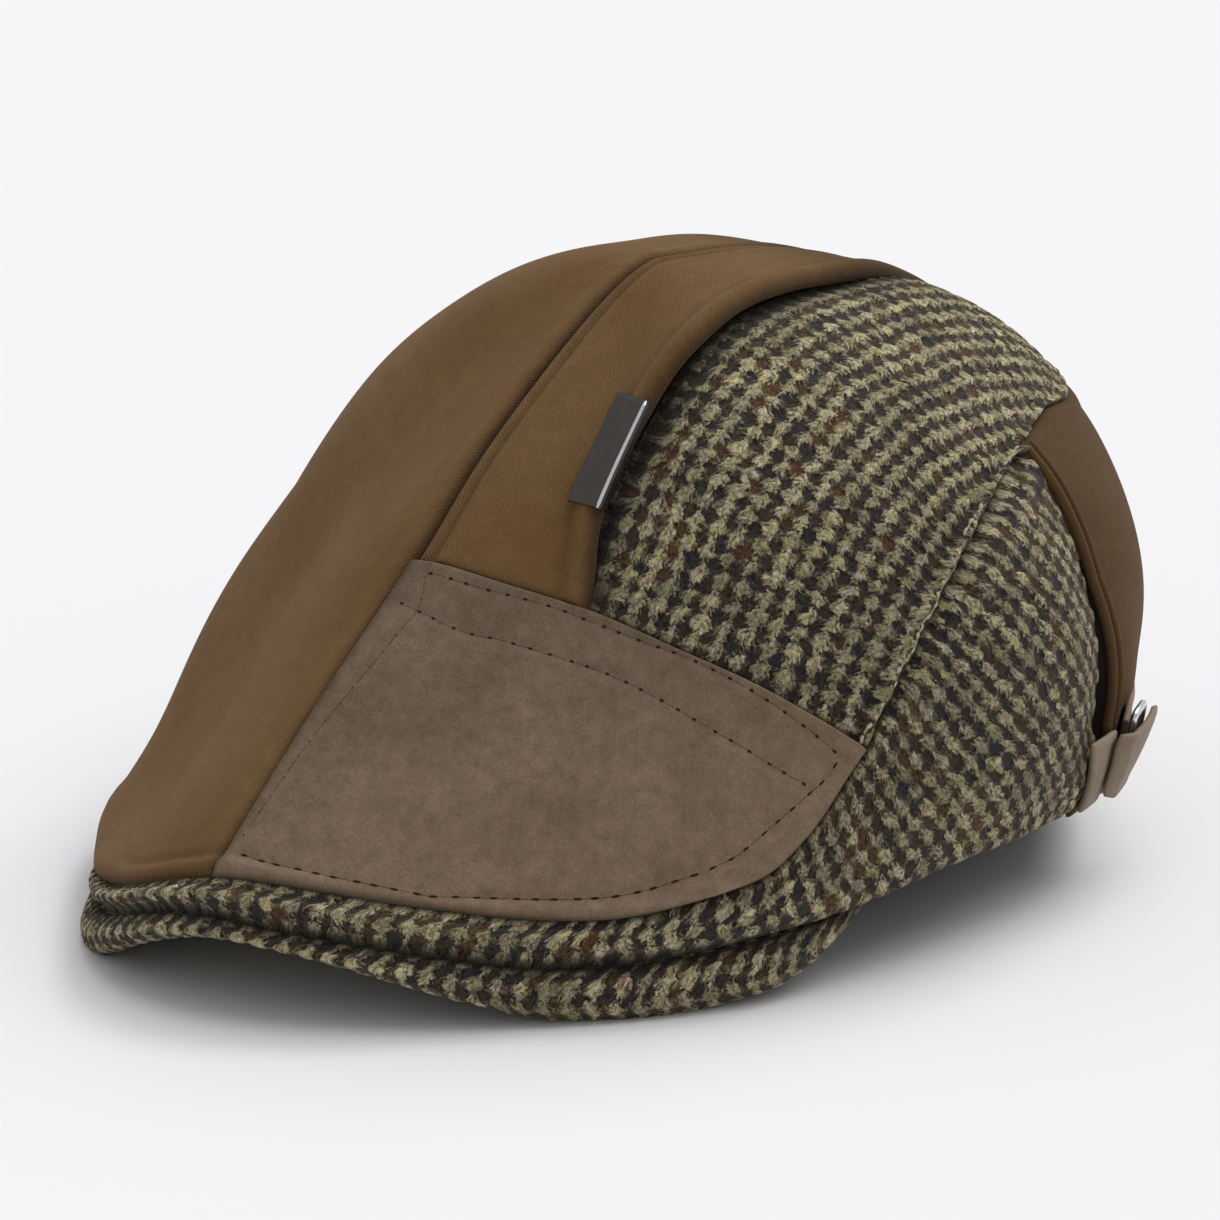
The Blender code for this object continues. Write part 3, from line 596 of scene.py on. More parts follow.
# Piping and plate
PIPING_START_SHARE = 0.20
PLATE_TURN = ((0.00035, 0.00008), (0.00065, 0.00030), (0.00085, 0.0010), (0.00085, 0.0024))
PLATE_FLATNESS = 0.85

# The buckle's frame against its solid: how much less it reaches up and down, how much higher it sits, both as
# shares of the way from the top of the cap to the hem, and how many degrees further forward
BUCKLE_INSET_SHARE = 0.008
BUCKLE_RAISE = 0.0120
BUCKLE_SHIFT = 2.6

# Shapes of a stitch along its length, and where the raised stitching beside the side seam runs
SEAM_RIDGE = 0.0017
DASH_SHAPE = (0.35, 0.9, 1.0, 0.9, 0.35)
THREAD_SHAPE = (0.5, 1.0, 1.0, 1.0, 1.0, 0.5)

# The tweed's yarn colour between its columns of spots
BETWEEN_COLUMNS = (0.230, 0.150, 0.085)

# Numbers that set each piece's pattern apart
SEEDS = {
    "right_top_panel": 1.0, "centre_strip": 2.0, "left_top_panel": 3.0, "suede_patch": 4.0,
    "left_side_panel": 5.0, "right_side_panel": 5.0, "back_panel": 7.0, "peak": 8.0,
    "left_strap_tab": 9.0, "back_strap": 10.0, "strap_end": 11.0,
}

# The smallest reach by which a side is drawn
SMALLEST_REACH = 0.00001

# Painted shade: dark lines in the cloth beside a side of a piece, where seams, folds and raised edges shade it:
# how far from it, how dark and how wide
PaintedShade = namedtuple("PaintedShade", "side place dark width")
# Painted shade along the groove between the peak's two rolls: how dark and how wide
PEAK_PAINTED_SHADE = 0.93
PEAK_PAINTED_SHADE_WIDTH = 0.0018

# Puckers of the tweed along its sewn seams
PUCKER = 0.00045
PUCKER_PITCH = 0.0105
PUCKER_WIDTH = 0.007

# Half the floor's side, and how far the back panel's sides are drawn out where its seams are closed
FLOOR_REACH = 8.0
BACK_REACH_OUT = 0.0002

# Yarns that wander: how far, in periods of the check, and over what distance
BROAD_STRAY = 0.15
BROAD_STRAY_SIZE = 0.012
FINE_STRAY = 0.12
FINE_STRAY_SIZE = 0.0034


def make_camera():
    azimuth, elevation = radians(CAMERA_AZIMUTH), radians(CAMERA_ELEVATION)
    right = Vector((cos(azimuth), sin(azimuth), 0.0))
    back = Vector((sin(azimuth) * cos(elevation), -cos(azimuth) * cos(elevation), sin(elevation)))
    up = back.cross(right)
    place = Vector(CAMERA_AIM) + CAMERA_SHIFT_RIGHT * right + CAMERA_SHIFT_UP * up + CAMERA_DISTANCE * back
    data = bpy.data.cameras.new("camera")
    data.lens = CAMERA_LENS
    data.sensor_width = SENSOR
    data.clip_start = 0.05
    data.clip_end = 50.0
    camera = bpy.data.objects.new("camera", data)
    camera.matrix_world = Matrix.Translation(place) @ Matrix((right, up, back)).transposed().to_4x4()
    bpy.context.scene.collection.objects.link(camera)
    bpy.context.scene.camera = camera


def make_studio():
    """A pale floor without an end, an even white surround and one wide light from above."""
    scene = bpy.context.scene
    scene.view_settings.view_transform = "Standard"
    world = bpy.data.worlds.new("studio")
    world.use_nodes = True
    surround = world.node_tree.nodes["Background"]
    surround.inputs["Color"].default_value = (1.0, 1.0, 1.01, 1.0)
    surround.inputs["Strength"].default_value = SURROUND
    scene.world = world
    azimuth = radians(CAMERA_AZIMUTH)
    right = Vector((cos(azimuth), sin(azimuth), 0.0))
    nearer = Vector((sin(azimuth), -cos(azimuth), 0.0))
    for name, strength, angle, lean in LAMPS:
        data = bpy.data.lights.new(name, "SUN")
        data.energy = strength
        data.angle = radians(angle)
        lamp = bpy.data.objects.new(name, data)
        beam = lean[0] * nearer + lean[1] * right - Vector((0.0, 0.0, 1.0))
        lamp.rotation_euler = beam.to_track_quat("-Z", "Y").to_euler()
        scene.collection.objects.link(lamp)
    mesh = bpy.data.meshes.new("floor")
    corners = [(x * FLOOR_REACH, y * FLOOR_REACH, 0) for x, y in ((-1, -1), (1, -1), (1, 1), (-1, 1))]
    mesh.from_pydata(corners, [], [(0, 1, 2, 3)])
    floor = bpy.data.objects.new("floor", mesh)
    paper = Shader("floor_paper", roughness=0.9)
    paper.set("Base Color", (0.885, 0.885, 0.90, 1.0))
    paper.set("Specular IOR Level", 0.0)
    mesh.materials.append(paper.material)
    scene.collection.objects.link(floor)


class Value:
    """A number in a shader's graph, so that a formula can be written as one."""

    def __init__(self, tree, socket):
        self.tree = tree
        self.socket = socket

    def math(self, operation, *others):
        node = self.tree.nodes.new("ShaderNodeMath")
        node.operation = operation
        for slot, item in zip(node.inputs, (self, *others)):
            if isinstance(item, Value):
                self.tree.links.new(item.socket, slot)
            else:
                slot.default_value = item
        return Value(self.tree, node.outputs[0])

    def __add__(self, other):
        return self.math("ADD", other)

    def __sub__(self, other):
        return self.math("SUBTRACT", other)

    def __mul__(self, other):
        return self.math("MULTIPLY", other)

    def rising(self, start, end):
        """0 up to the start, 1 from the end on, smooth between them."""
        node = self.tree.nodes.new("ShaderNodeMapRange")
        node.interpolation_type = "SMOOTHSTEP"
        self.tree.links.new(self.socket, node.inputs["Value"])
        node.inputs["From Min"].default_value = start
        node.inputs["From Max"].default_value = end
        return Value(self.tree, node.outputs["Result"])


class Shader:
    """One material: a Principled shader and what feeds it."""

    def __init__(self, name, roughness, metallic=0.0):
        self.material = bpy.data.materials.new(name)
        self.material.use_nodes = True
        self.tree = self.material.node_tree
        self.principled = self.tree.nodes["Principled BSDF"]
        self.set("Roughness", roughness)
        self.set("Metallic", metallic)

    def set(self, name, value):
        self.principled.inputs[name].default_value = value

    def node(self, kind, **links):
        made = self.tree.nodes.new(kind)
        for name, item in links.items():
            self.link(item, made.inputs[name.replace("_", " ")])
        return made

    def link(self, item, slot):
        if isinstance(item, Value):
            self.tree.links.new(item.socket, slot)
        elif isinstance(item, bpy.types.NodeSocket):
            self.tree.links.new(item, slot)
        else:
            slot.default_value = item

    def attribute(self, name):
        node = self.tree.nodes.new("ShaderNodeAttribute")
        node.attribute_name = name
        return node.outputs["Vector"]

    def painted_seam_shade(self):
        """1 on open cloth, less down in seams and folds and beside raised edges: painted shade, where the cloth
        lies in shadow.
        """
        node = self.tree.nodes.new("ShaderNodeAttribute")
        node.attribute_name = "painted_shade"
        return Value(self.tree, node.outputs["Fac"]) * -1.0 + 1.0

    def place(self):
        return self.tree.nodes.new("ShaderNodeTexCoord").outputs["Object"]

    def parts(self, vector):
        node = self.node("ShaderNodeSeparateXYZ", Vector=vector)
        return [Value(self.tree, socket) for socket in node.outputs]

    def vector(self, x=0.0, y=0.0, z=0.0):
        return self.node("ShaderNodeCombineXYZ", X=x, Y=y, Z=z).outputs[0]

    def noise(self, vector, scale, detail=2.0, roughness=0.5):
        node = self.node("ShaderNodeTexNoise", Vector=vector, Scale=scale, Detail=detail, Roughness=roughness)
        return Value(self.tree, node.outputs[0])

    def strayed(self, vector, scale, amount):
        """The same coordinates, each pushed about by a noise of its own."""
        noise = self.node("ShaderNodeTexNoise", Vector=vector, Scale=scale, Detail=2.0, Roughness=0.6)
        push = self.node("ShaderNodeVectorMath")
        push.operation = "MULTIPLY_ADD"
        self.link(noise.outputs["Color"], push.inputs[0])
        push.inputs[1].default_value = (amount, amount, 0.0)
        middle = self.node("ShaderNodeVectorMath")
        middle.operation = "SUBTRACT"
        self.link(vector, middle.inputs[0])
        middle.inputs[1].default_value = (amount / 2, amount / 2, 0.0)
        self.link(middle.outputs[0], push.inputs[2])
        return push.outputs[0]

    def strands(self, u, v, seed, turn, across, along):
        """Noise drawn out into short strands that lean by this angle from the v axis."""
        slope, rise = sin(radians(turn)), cos(radians(turn))
        first, second = u * rise - v * slope, u * slope + v * rise
        return self.noise(self.vector(first * across, second * along, seed), 1.0, 2.0, 0.55)

    def chance(self, vector):
        return Value(self.tree, self.node("ShaderNodeTexWhiteNoise", Vector=vector).outputs["Value"])

    def mix(self, share, first, second):
        node = self.tree.nodes.new("ShaderNodeMix")
        node.data_type = "RGBA"
        for slot, item in ((node.inputs[0], share), (node.inputs[6], first), (node.inputs[7], second)):
            self.link((*item, 1.0) if isinstance(item, tuple) and len(item) == 3 else item, slot)
        return node.outputs[2]

    def choose(self, share, colours, interpolation="CONSTANT"):
        node = self.node("ShaderNodeValToRGB", Fac=share)
        ramp = node.color_ramp
        ramp.interpolation = interpolation
        while len(ramp.elements) < len(colours):
            ramp.elements.new(0.5)
        for element, (position, colour) in zip(ramp.elements, colours):
            element.position = position
            element.color = (*colour, 1.0)
        return node.outputs[0]

    def shade(self, colour, factor):
        """A colour times a number."""
        node = self.node("ShaderNodeVectorMath")
        node.operation = "SCALE"
        self.link(colour, node.inputs[0])
        self.link(factor, node.inputs["Scale"])
        return node.outputs[0]

    def bump(self, height, distance, strength=1.0, under=None):
        node = self.node("ShaderNodeBump", Height=height, Distance=distance, Strength=strength)
        if under is not None:
            self.link(under, node.inputs["Normal"])
        return node.outputs[0]

    def finish(self, colour, normal):
        self.link(colour, self.principled.inputs["Base Color"])
        self.link(normal, self.principled.inputs["Normal"])
        return self.material


def fabric_shader(name, roughness, sheen, sheen_roughness, tint):
    shader = Shader(name, roughness)
    shader.set("Sheen Weight", sheen)
    shader.set("Sheen Roughness", sheen_roughness)
    shader.set("Sheen Tint", (*tint, 1.0))
    shader.set("Specular IOR Level", 0.15)
    return shader


def tweed_material():
    """A small check of light looped yarns round dark spots, in the cloth's own coordinates."""
    s = fabric_shader("tweed", 0.95, 0.17, 0.5, (0.90, 0.82, 0.66))
    cloth = s.attribute("cloth")
    u, v, seed = s.parts(s.strayed(s.strayed(cloth, 3.1, 0.40), 9.0, 0.26))
    plain_u, plain_v, _ = s.parts(cloth)
    leftward = s.strands(u, v, seed, 30.0, 9.5, 3.5)
    rightward = s.strands(u, v, seed + 5.0, -30.0, 9.5, 3.5)
    side = (u * (2 * pi)).math("SINE").rising(-0.5, 0.5)
    strand = leftward * side + rightward * (side * -1.0 + 1.0)
    columns = (u * (2 * pi)).math("COSINE")
    rows = ((v - (u * (2 * pi)).math("SINE") * (SPOT_SLANT / (2 * pi))) * (2 * pi)).math("COSINE")
    patch = s.noise(s.vector(plain_u * 0.55, plain_v * 0.40, seed), 1.0, 2.0)
    field = columns * COLUMN_SHARE + rows * (1.0 - COLUMN_SHARE) + (strand - 0.5) * 2.9 + (patch - 0.5) * 1.5
    light = field.rising(-0.38, 0.34)
    lit = strand.rising(0.32, 0.64)
    main = (columns + (strand - 0.5) * 1.2).rising(-0.9, 0.7)
    fibre = s.noise(s.vector(u * 5.0, v * 3.0, seed), 5.0, 3.0, 0.7)
    hue = s.noise(s.vector(u * 3.4, v * 1.7, seed + 2.0), 1.0, 2.0, 0.6)
    yarn = s.choose(
        hue,
        (
            (0.30, (0.300, 0.180, 0.090)),
            (0.38, (0.470, 0.410, 0.270)),
            (0.45, (0.440, 0.390, 0.150)),
            (0.51, (0.330, 0.290, 0.190)),
            (0.58, (0.520, 0.480, 0.340)),
            (0.68, (0.300, 0.160, 0.075)),
        ),
        "LINEAR",
    )
    yarn = s.mix(main, s.mix(0.35, yarn, BETWEEN_COLUMNS), yarn)
    cell = s.chance(s.vector((u + 0.5).math("FLOOR"), (v + 0.5).math("FLOOR"), seed + 6.0))
    worn = (lit * 0.96 + 0.24) * (fibre * 1.2 + 0.40) * (main * 0.24 + 0.84) * (cell * 0.50 + 0.70)
    yarn = s.shade(yarn, worn)
    column = s.vector(plain_u.math("FLOOR"), 0.0, seed + 3.0)
    spot = s.vector(plain_u.math("FLOOR"), plain_v.math("FLOOR"), seed + 1.0)
    dark = s.choose(
        s.chance(spot) * 0.55 + s.chance(column) * 0.35 + (hue - 0.5) * 0.5,
        (
            (0.0, (0.044, 0.022, 0.013)),
            (0.25, (0.015, 0.014, 0.020)),
            (0.42, (0.034, 0.018, 0.013)),
            (0.55, (0.012, 0.016, 0.014)),
            (0.72, (0.060, 0.027, 0.012)),
        ),
        "LINEAR",
    )
    dark = s.shade(dark, (lit * 1.9 + 0.30) * (fibre * 1.1 + 0.45))
    _, _, height = s.parts(s.place())
    # Painted light and shade: the tweed darker down the sides, as under light from above, and lighter again
    # near the floor
    low = height.rising(0.055, 0.122) * 0.34 + height.rising(0.042, 0.018) * 0.20 + 0.74
    colour = s.shade(s.mix(light, dark, yarn), low * s.painted_seam_shade())
    normal = s.bump(light * 0.8 + strand * 1.6, 0.0006, 0.8)
    normal = s.bump(fibre, 0.00016, 0.8, normal)
    return s.finish(colour, normal)


def brown_material():
    """Brushed brown twill: fine slanting ribs under a soft nap, with broad changes of tone, and painted shade
    darkening the back.
    """
    s = fabric_shader("brown_cloth", 0.92, 0.10, 0.5, (0.75, 0.55, 0.38))
    cloth = s.attribute("cloth")
    u, v, seed = s.parts(cloth)
    stray = s.noise(cloth, 420.0, 2.0, 0.6) * 6.0
    rib = ((u + v * 0.8) * (2 * pi / 0.00080) + stray).math("SINE") * 0.5 + 0.5
    stretched = s.node("ShaderNodeMapping", Vector=cloth, Scale=(1.0, 0.45, 1.0)).outputs[0]
    nap = s.noise(stretched, 2600.0, 3.0, 0.65)
    mottle = s.noise(cloth, 210.0, 3.0, 0.6)
    broad = s.noise(cloth, 26.0, 2.0, 0.5)
    tone = s.choose(broad, ((0.30, (0.134, 0.069, 0.025)), (0.70, (0.156, 0.090, 0.037))), "LINEAR")
    # Painted shade: the back of the cap, which faces away from the light, darker; worn below carries it with
    # the nap, ribs and mottling
    painted_back_shade = s.parts(s.place())[1].rising(0.028, 0.060)
    worn = (nap * 1.15 * (rib * 0.30 + 0.83) + mottle * 0.45 + 0.24) * (painted_back_shade * -0.52 + 1.06)
    colour = s.shade(tone, worn * s.painted_seam_shade())
    normal = s.bump(nap * 0.7 + rib * 0.5, 0.00016, 0.9, s.bump(mottle, 0.0006, 0.25))
    return s.finish(colour, normal)


def suede_material():
    """Taupe suede: a soft mottled nap with a fine grain, and painted light brightening it towards the bottom.
    """
    s = fabric_shader("suede", 0.90, 0.14, 0.45, (0.85, 0.72, 0.6))
    place = s.place()
    broad = s.noise(place, 45.0, 3.0, 0.55)
    mottle = s.noise(place, 320.0, 4.0, 0.62)
    grain = s.noise(place, 2300.0, 3.0, 0.7)
    tone = s.choose(broad, ((0.32, (0.114, 0.079, 0.050)), (0.68, (0.153, 0.109, 0.073))), "LINEAR")
    _, _, height = s.parts(place)
    # Painted light: the suede lighter towards the bottom, as under light from the front
    painted_light_below = height.rising(0.10, 0.01) * 0.50 + 1.12
    colour = s.shade(tone, (mottle * 0.85 + grain * 1.25 - 0.05) * painted_light_below * s.painted_seam_shade())
    normal = s.bump(grain, 0.00016, 0.9, s.bump(mottle, 0.0006, 0.5))
    return s.finish(colour, normal)


def leather_material():
    """The strap's matt leather, lighter where it is worn."""
    s = fabric_shader("strap_leather", 0.68, 0.05, 0.5, (0.8, 0.7, 0.6))
    s.set("Specular IOR Level", 0.35)
    place = s.place()
    broad = s.noise(place, 120.0, 2.0)
    grain = s.noise(place, 1500.0, 4.0, 0.6)
    tone = s.choose(broad, ((0.30, (0.185, 0.135, 0.087)), (0.72, (0.250, 0.190, 0.128))), "LINEAR")
    colour = s.shade(tone, grain * 0.5 + 0.75)
    return s.finish(colour, s.bump(grain, 0.00015, 0.6))


def metal_material(name, colour, roughness, brush):
    s = Shader(name, roughness, 1.0)
    place = s.place()
    lines = s.noise(s.node("ShaderNodeMapping", Vector=place, Scale=brush).outputs[0], 1.0, 3.0, 0.6)
    worn = s.noise(place, 900.0, 2.0)
    shade = s.shade(colour, lines * 0.22 + worn * 0.12 + 0.82)
    s.link(lines * 0.14 + (roughness - 0.07), s.principled.inputs["Roughness"])
    return s.finish(shade, s.bump(lines, 0.00004, 0.35))


def thread_material(name, colour):
    s = Shader(name, 0.85)
    s.set("Specular IOR Level", 0.2)
    twist = s.noise(s.place(), 3500.0, 2.0)
    return s.finish(s.shade(colour, twist * 0.8 + 0.6), s.bump(twist, 0.0001, 0.5))


def shares_of(length, step, band=EDGE_BAND):
    """Shares from 0 to 1 about a step apart, closer in a band at both ends, a multiple of COARSE of them."""
    inner = COARSE * max(1, round((length - 2 * band) / step / COARSE))
    edge = band / length
    ends = edge * np.linspace(0.0, 1.0, COARSE, endpoint=False)
    return np.concatenate([ends, np.linspace(edge, 1.0 - edge, inner + 1), 1.0 - ends[::-1]])


def lengths_along(points, axis):
    """The distance of each grid point from the first one along its line."""
    steps = np.linalg.norm(np.diff(points, axis=axis), axis=-1)
    start = np.zeros_like(np.take(steps, [0], axis=axis))
    return np.concatenate([start, np.cumsum(steps, axis=axis)], axis=axis)


def side_distances(points):
    """How far each point of a grid lies from the grid's four sides."""
    up, across = lengths_along(points, 0), lengths_along(points, 1)
    return {"near": up, "far": up[-1:] - up, "left": across, "right": across[:, -1:] - across}


def rolled(distance, radius):
    """How far a rounded edge drops towards its border."""
    inward = radius - np.clip(distance, 0.0, radius)
    return radius - np.sqrt(np.maximum(radius**2 - inward**2, 0.0))


def normals_of(points):
    """Unit normals of a grid of points, pointing out of the crown."""
    along = np.gradient(points, axis=0)
    across = np.gradient(points, axis=1)
    normal = np.cross(across, along)
    normal /= np.maximum(np.linalg.norm(normal, axis=-1, keepdims=True), 1e-12)
    middle = np.array([0.0, TOP_Y, CROWN_HEIGHT / 3])
    if ((points - middle) * normal).sum() < 0:
        normal = -normal
    return normal


def lattice_value(cell, seed):
    mixed = np.sin(cell @ np.array([12.9898, 78.233, 37.719]) + seed * 4.137) * 43758.5453
    return mixed - np.floor(mixed)


def soft_noise(points, size, seed):
    """Smooth noise from -1 to 1 over points in space, changing over about this size."""
    scaled = points / size
    base = np.floor(scaled)
    part = scaled - base
    part = part * part * (3 - 2 * part)
    total = np.zeros(points.shape[:-1])
    for corner in np.ndindex(2, 2, 2):
        corner = np.array(corner)
        weight = np.prod(np.where(corner == 1, part, 1 - part), axis=-1)
        total += weight * lattice_value(base + corner, seed)
    return 2 * total - 1


def straying(base, u, v):
    """Weave coordinates that wander a little, as loosely woven yarns do."""
    broad = BROAD_STRAY * soft_noise(base, BROAD_STRAY_SIZE, 31.0)
    across, along = (FINE_STRAY * soft_noise(base, FINE_STRAY_SIZE, seed) for seed in (33.0, 35.0))
    return u + across + broad, v + along - broad


def weave_height(u, v):
    """From 0 in the tweed's dark spots to 1 on its light yarns, in the same places as in the shader."""
    rows = np.cos(2 * pi * v - SPOT_SLANT * np.sin(2 * pi * u))
    return eased(COLUMN_SHARE * np.cos(2 * pi * u) + (1 - COLUMN_SHARE) * rows, -0.6, 0.6)


def closed_sheet(name, outer, inner, materials, cloth, painted_shade):
    """A closed mesh between a fine outer grid and a coarser inner one that meets it along the border."""
    rows, columns = outer.shape[:2]
    ids = np.arange(rows * columns).reshape(rows, columns)
    verts = [outer.reshape(-1, 3)]
    inner_ids = {}
    inside = []
    for row in range(0, rows, COARSE):
        for col in range(0, columns, COARSE):
            inner_ids[row, col] = ids[row, col]
            if 0 < row < rows - 1 and 0 < col < columns - 1:
                inner_ids[row, col] = rows * columns + len(inside)
                inside.append((row, col))
    verts.append(np.array([inner[key] for key in inside]).reshape(-1, 3))
    quads = np.stack([ids[:-1, :-1], ids[:-1, 1:], ids[1:, 1:], ids[1:, :-1]], -1).reshape(-1, 4)
    faces = quads.tolist()
    for row in range(0, rows - 1, COARSE):
        for col in range(0, columns - 1, COARSE):
            below, right = row + COARSE, col + COARSE
            corners = [(row, col), (below, col), (below, right), (row, right)]
            loop = []
            for start, end in zip(corners, corners[1:] + corners[:1]):
                on_border = start[0] == end[0] in (0, rows - 1) or start[1] == end[1] in (0, columns - 1)
                loop.append(inner_ids[start])
                if on_border:
                    for k in range(1, COARSE):
                        between = [a + (b - a) * k // COARSE for a, b in zip(start, end)]
                        loop.append(ids[tuple(between)])
            faces.append([int(index) for index in loop])
    places = np.concatenate(verts)
    mesh = closed_mesh(name, places, faces)
    values = np.zeros((len(places), 3), np.float32)
    values[: rows * columns] = cloth.reshape(-1, 3)
    values[rows * columns :] = np.array([cloth[key] for key in inside]).reshape(-1, 3)
    add_cloth_places(mesh, values)
    add_painted_shade(mesh, painted_shade.ravel())
    return add_piece(name, mesh, materials)


def add_painted_shade(mesh, values):
    """Painted shade: how dark the cloth is painted in its seams and folds, where shadow falls: 0 for the last
    vertices, which have no value given.
    """
    darkness = np.zeros(len(mesh.vertices), np.float32)
    darkness[: len(values)] = values
    layer = mesh.attributes.new("painted_shade", "FLOAT", "POINT")
    layer.data.foreach_set("value", darkness)


def closed_mesh(name, places, faces, slots=None, smooth=True):
    """A closed mesh whose faces point out."""
    mesh = bpy.data.meshes.new(name)
    mesh.from_pydata(places.tolist(), [], faces)
    if slots is not None:
        mesh.polygons.foreach_set("material_index", slots)
    mesh.update()
    if volume_of(mesh) < 0:
        mesh.flip_normals()
    if smooth:
        mesh.shade_smooth()
    return mesh


def tube_faces(rings, sides):
    """The faces of a tube of rings of points, with both of its ends closed."""
    ids = np.arange(rings * sides).reshape(rings, sides)
    turned = np.roll(ids, -1, axis=1)
    faces = np.stack([ids[:-1], turned[:-1], turned[1:], ids[1:]], -1).reshape(-1, 4).tolist()
    return faces + [ids[0, ::-1].tolist(), ids[-1].tolist()]


def add_cloth_places(mesh, values):
    layer = mesh.attributes.new("cloth", "FLOAT_VECTOR", "POINT")
    layer.data.foreach_set("vector", values.astype(np.float32).ravel())


def volume_of(mesh):
    places = np.zeros(len(mesh.vertices) * 3, np.float32)
    mesh.vertices.foreach_get("co", places)
    places = places.reshape(-1, 3).astype(float)
    mesh.calc_loop_triangles()
    corners = np.zeros(len(mesh.loop_triangles) * 3, np.int32)
    mesh.loop_triangles.foreach_get("vertices", corners)
    a, b, c = (places[corners.reshape(-1, 3)[:, k]] for k in range(3))
    return float((a * np.cross(b, c)).sum()) / 6


def add_piece(name, mesh, materials):
    obj = bpy.data.objects.new(name, mesh)
    for look in materials:
        mesh.materials.append(look)
    bpy.context.scene.collection.objects.link(obj)
    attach(obj, "root")
    return obj


def reaching(base, away, reaches):
    """The same grid with some of its sides drawn out over a seam's gap, or in where that is below zero."""
    moved = base.copy()
    steps = {
        "near": base[:1] - base[1:2], "far": base[-1:] - base[-2:-1],
        "left": base[:, :1] - base[:, 1:2], "right": base[:, -1:] - base[:, -2:-1],
    }
    for side, reach in reaches.items():
        step = steps[side] / np.linalg.norm(steps[side], axis=-1, keepdims=True)
        share = np.clip(1.0 - away[side] / (4 * np.maximum(np.abs(reach), SMALLEST_REACH)), 0.0, 1.0) ** 2
        moved = moved + step * (reach * share)[..., None]
    return moved


def cloth_sheet(
    name, node, plan, lift, thickness, look, rolls, weave=None, extra=None, reaches=None, painted_shades=()
):
    """One piece of cloth over a grid of disc points. rolls gives the radius by which each side's edge is
    rounded, reaches how far a side is drawn out to close its seam, and the last argument the lines of painted
    shade beside sides."""
    base = on_crown(plan, lift)
    away = side_distances(base)
    if reaches:
        base = reaching(base, away, reaches)
    normal = normals_of(base)
    drop = np.zeros(plan.shape[:2])
    for side, radius in rolls.items():
        drop = np.maximum(drop, rolled(away[side], radius))
    rise = np.zeros(plan.shape[:2]) if extra is None else extra(base, away)
    cloth = base.copy()
    nearest = np.minimum.reduce(list(away.values()))
    if weave is not None:
        u, v = straying(base, *weave(base, away))
        cloth = np.stack([u, v, np.full(u.shape, SEEDS[node])], -1)
        rise = rise + WEAVE_RELIEF * (weave_height(u, v) - 0.6) * eased(nearest, 0.0, 0.001)
    else:
        cloth = np.stack([away["left"], away["near"], np.full(drop.shape, SEEDS[node] * 0.01)], -1)
    outer = base + normal * (rise - drop)[..., None]
    inner = base - normal * np.maximum(thickness, drop + 0.0004)[..., None]
    for grid in (outer, inner):
        grid[..., 2] = np.maximum(grid[..., 2], 0.0)
    # Painted shade along the given sides, where seams and raised edges would shade the cloth
    painted_shade = np.zeros(drop.shape)
    for line in painted_shades:
        painted_shade = np.maximum(painted_shade, line.dark * bell(away[line.side] - line.place, line.width))
    obj = closed_sheet(name, outer, inner, [look], cloth, painted_shade)
    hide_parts(node)
    return obj, outer, away, plan


def seam_puff(distance, height=0.0010, middle=0.0034, width=0.0024, dip=0.0005, dip_width=0.0009):
    """Cloth beside a sewn seam: pulled in at the stitches and puffed up just beside them."""
    puff = height * bell(distance - middle, width)
    return puff - dip * bell(distance, dip_width)


def grid_lengths(plan_of, guess=24):
    """The longest row and column of a piece, in metres."""
    shares = np.linspace(0.0, 1.0, guess)
    points = on_crown(plan_of(shares, shares))
    return lengths_along(points, 1)[:, -1].max(), lengths_along(points, 0)[-1].max()


def fine_plan(plan_of, step):
    across, along = grid_lengths(plan_of)
    columns, rows = shares_of(across, step), shares_of(along, step)
    return plan_of(columns, rows), columns, rows


def right_top_plan(columns, rows):
    front, back = seam_ends()
    return patch_between(
        near=lambda shares: front_edge(SEAM_FRONT_ANGLE, -SIDE_SEAM[0].angle, shares),
        far=lambda shares: back_top(180.0, 360.0 - BACK_TOP[0].angle, shares),
        left=lambda shares: centre_seam(front[1], back[1], shares),
        right=lambda shares: mirrored(side_seam(shares)),
        columns=columns,
        rows=rows,
    )


def left_top_plan(columns, rows):
    return patch_between(
        near=lambda shares: suede_top(STRIP_AT_SUEDE.x, SIDE_TIP.x, shares),
        far=lambda shares: back_top(STRIP_BACK_ANGLE, BACK_TOP[0].angle, shares),
        left=strip_edge,
        right=side_seam,
        columns=columns,
        rows=rows,
    )


def suede_plan(columns, rows):
    front = seam_ends()[0]
    return patch_between(
        near=lambda shares: front_edge(SEAM_FRONT_ANGLE, SUEDE_CORNER_ANGLE, shares),
        far=lambda shares: suede_top(SEAM_AT_SUEDE.x, SIDE_TIP.x, shares),
        left=lambda shares: centre_seam(front[1], SEAM_AT_SUEDE.y, shares),
        right=lambda shares: front_edge(SUEDE_CORNER_ANGLE, SIDE_SEAM[0].angle, shares),
        columns=columns,
        rows=rows,
    )


def side_upper(shares, sign):
    """The side panel's upper edge: over the peak, and on round the side seam."""
    over_peak = front_edge(0.0, SIDE_SEAM[0].angle * sign, np.linspace(0.0, 1.0, 60))
    over_ear = side_seam(np.linspace(0.0, 1.0, 60)) * (sign, 1.0)
    line = np.vstack([over_peak, over_ear[1:]])
    run = run_along(line)
    wanted = shares * run[-1]
    return places_along(line, run, wanted)


def side_plan_of(sign):
    def plan(columns, up):
        upper = side_upper(columns, sign)
        return from_hem(around(upper) * BACK_EDGE_ANGLE / SIDE_SEAM[-1].angle, upper, up)

    return plan


def seam_dip(away, sides):
    nearest = np.minimum.reduce([away[side] for side in sides])
    return -SEAM_DIP * bell(nearest, SEAM_DIP_WIDTH)


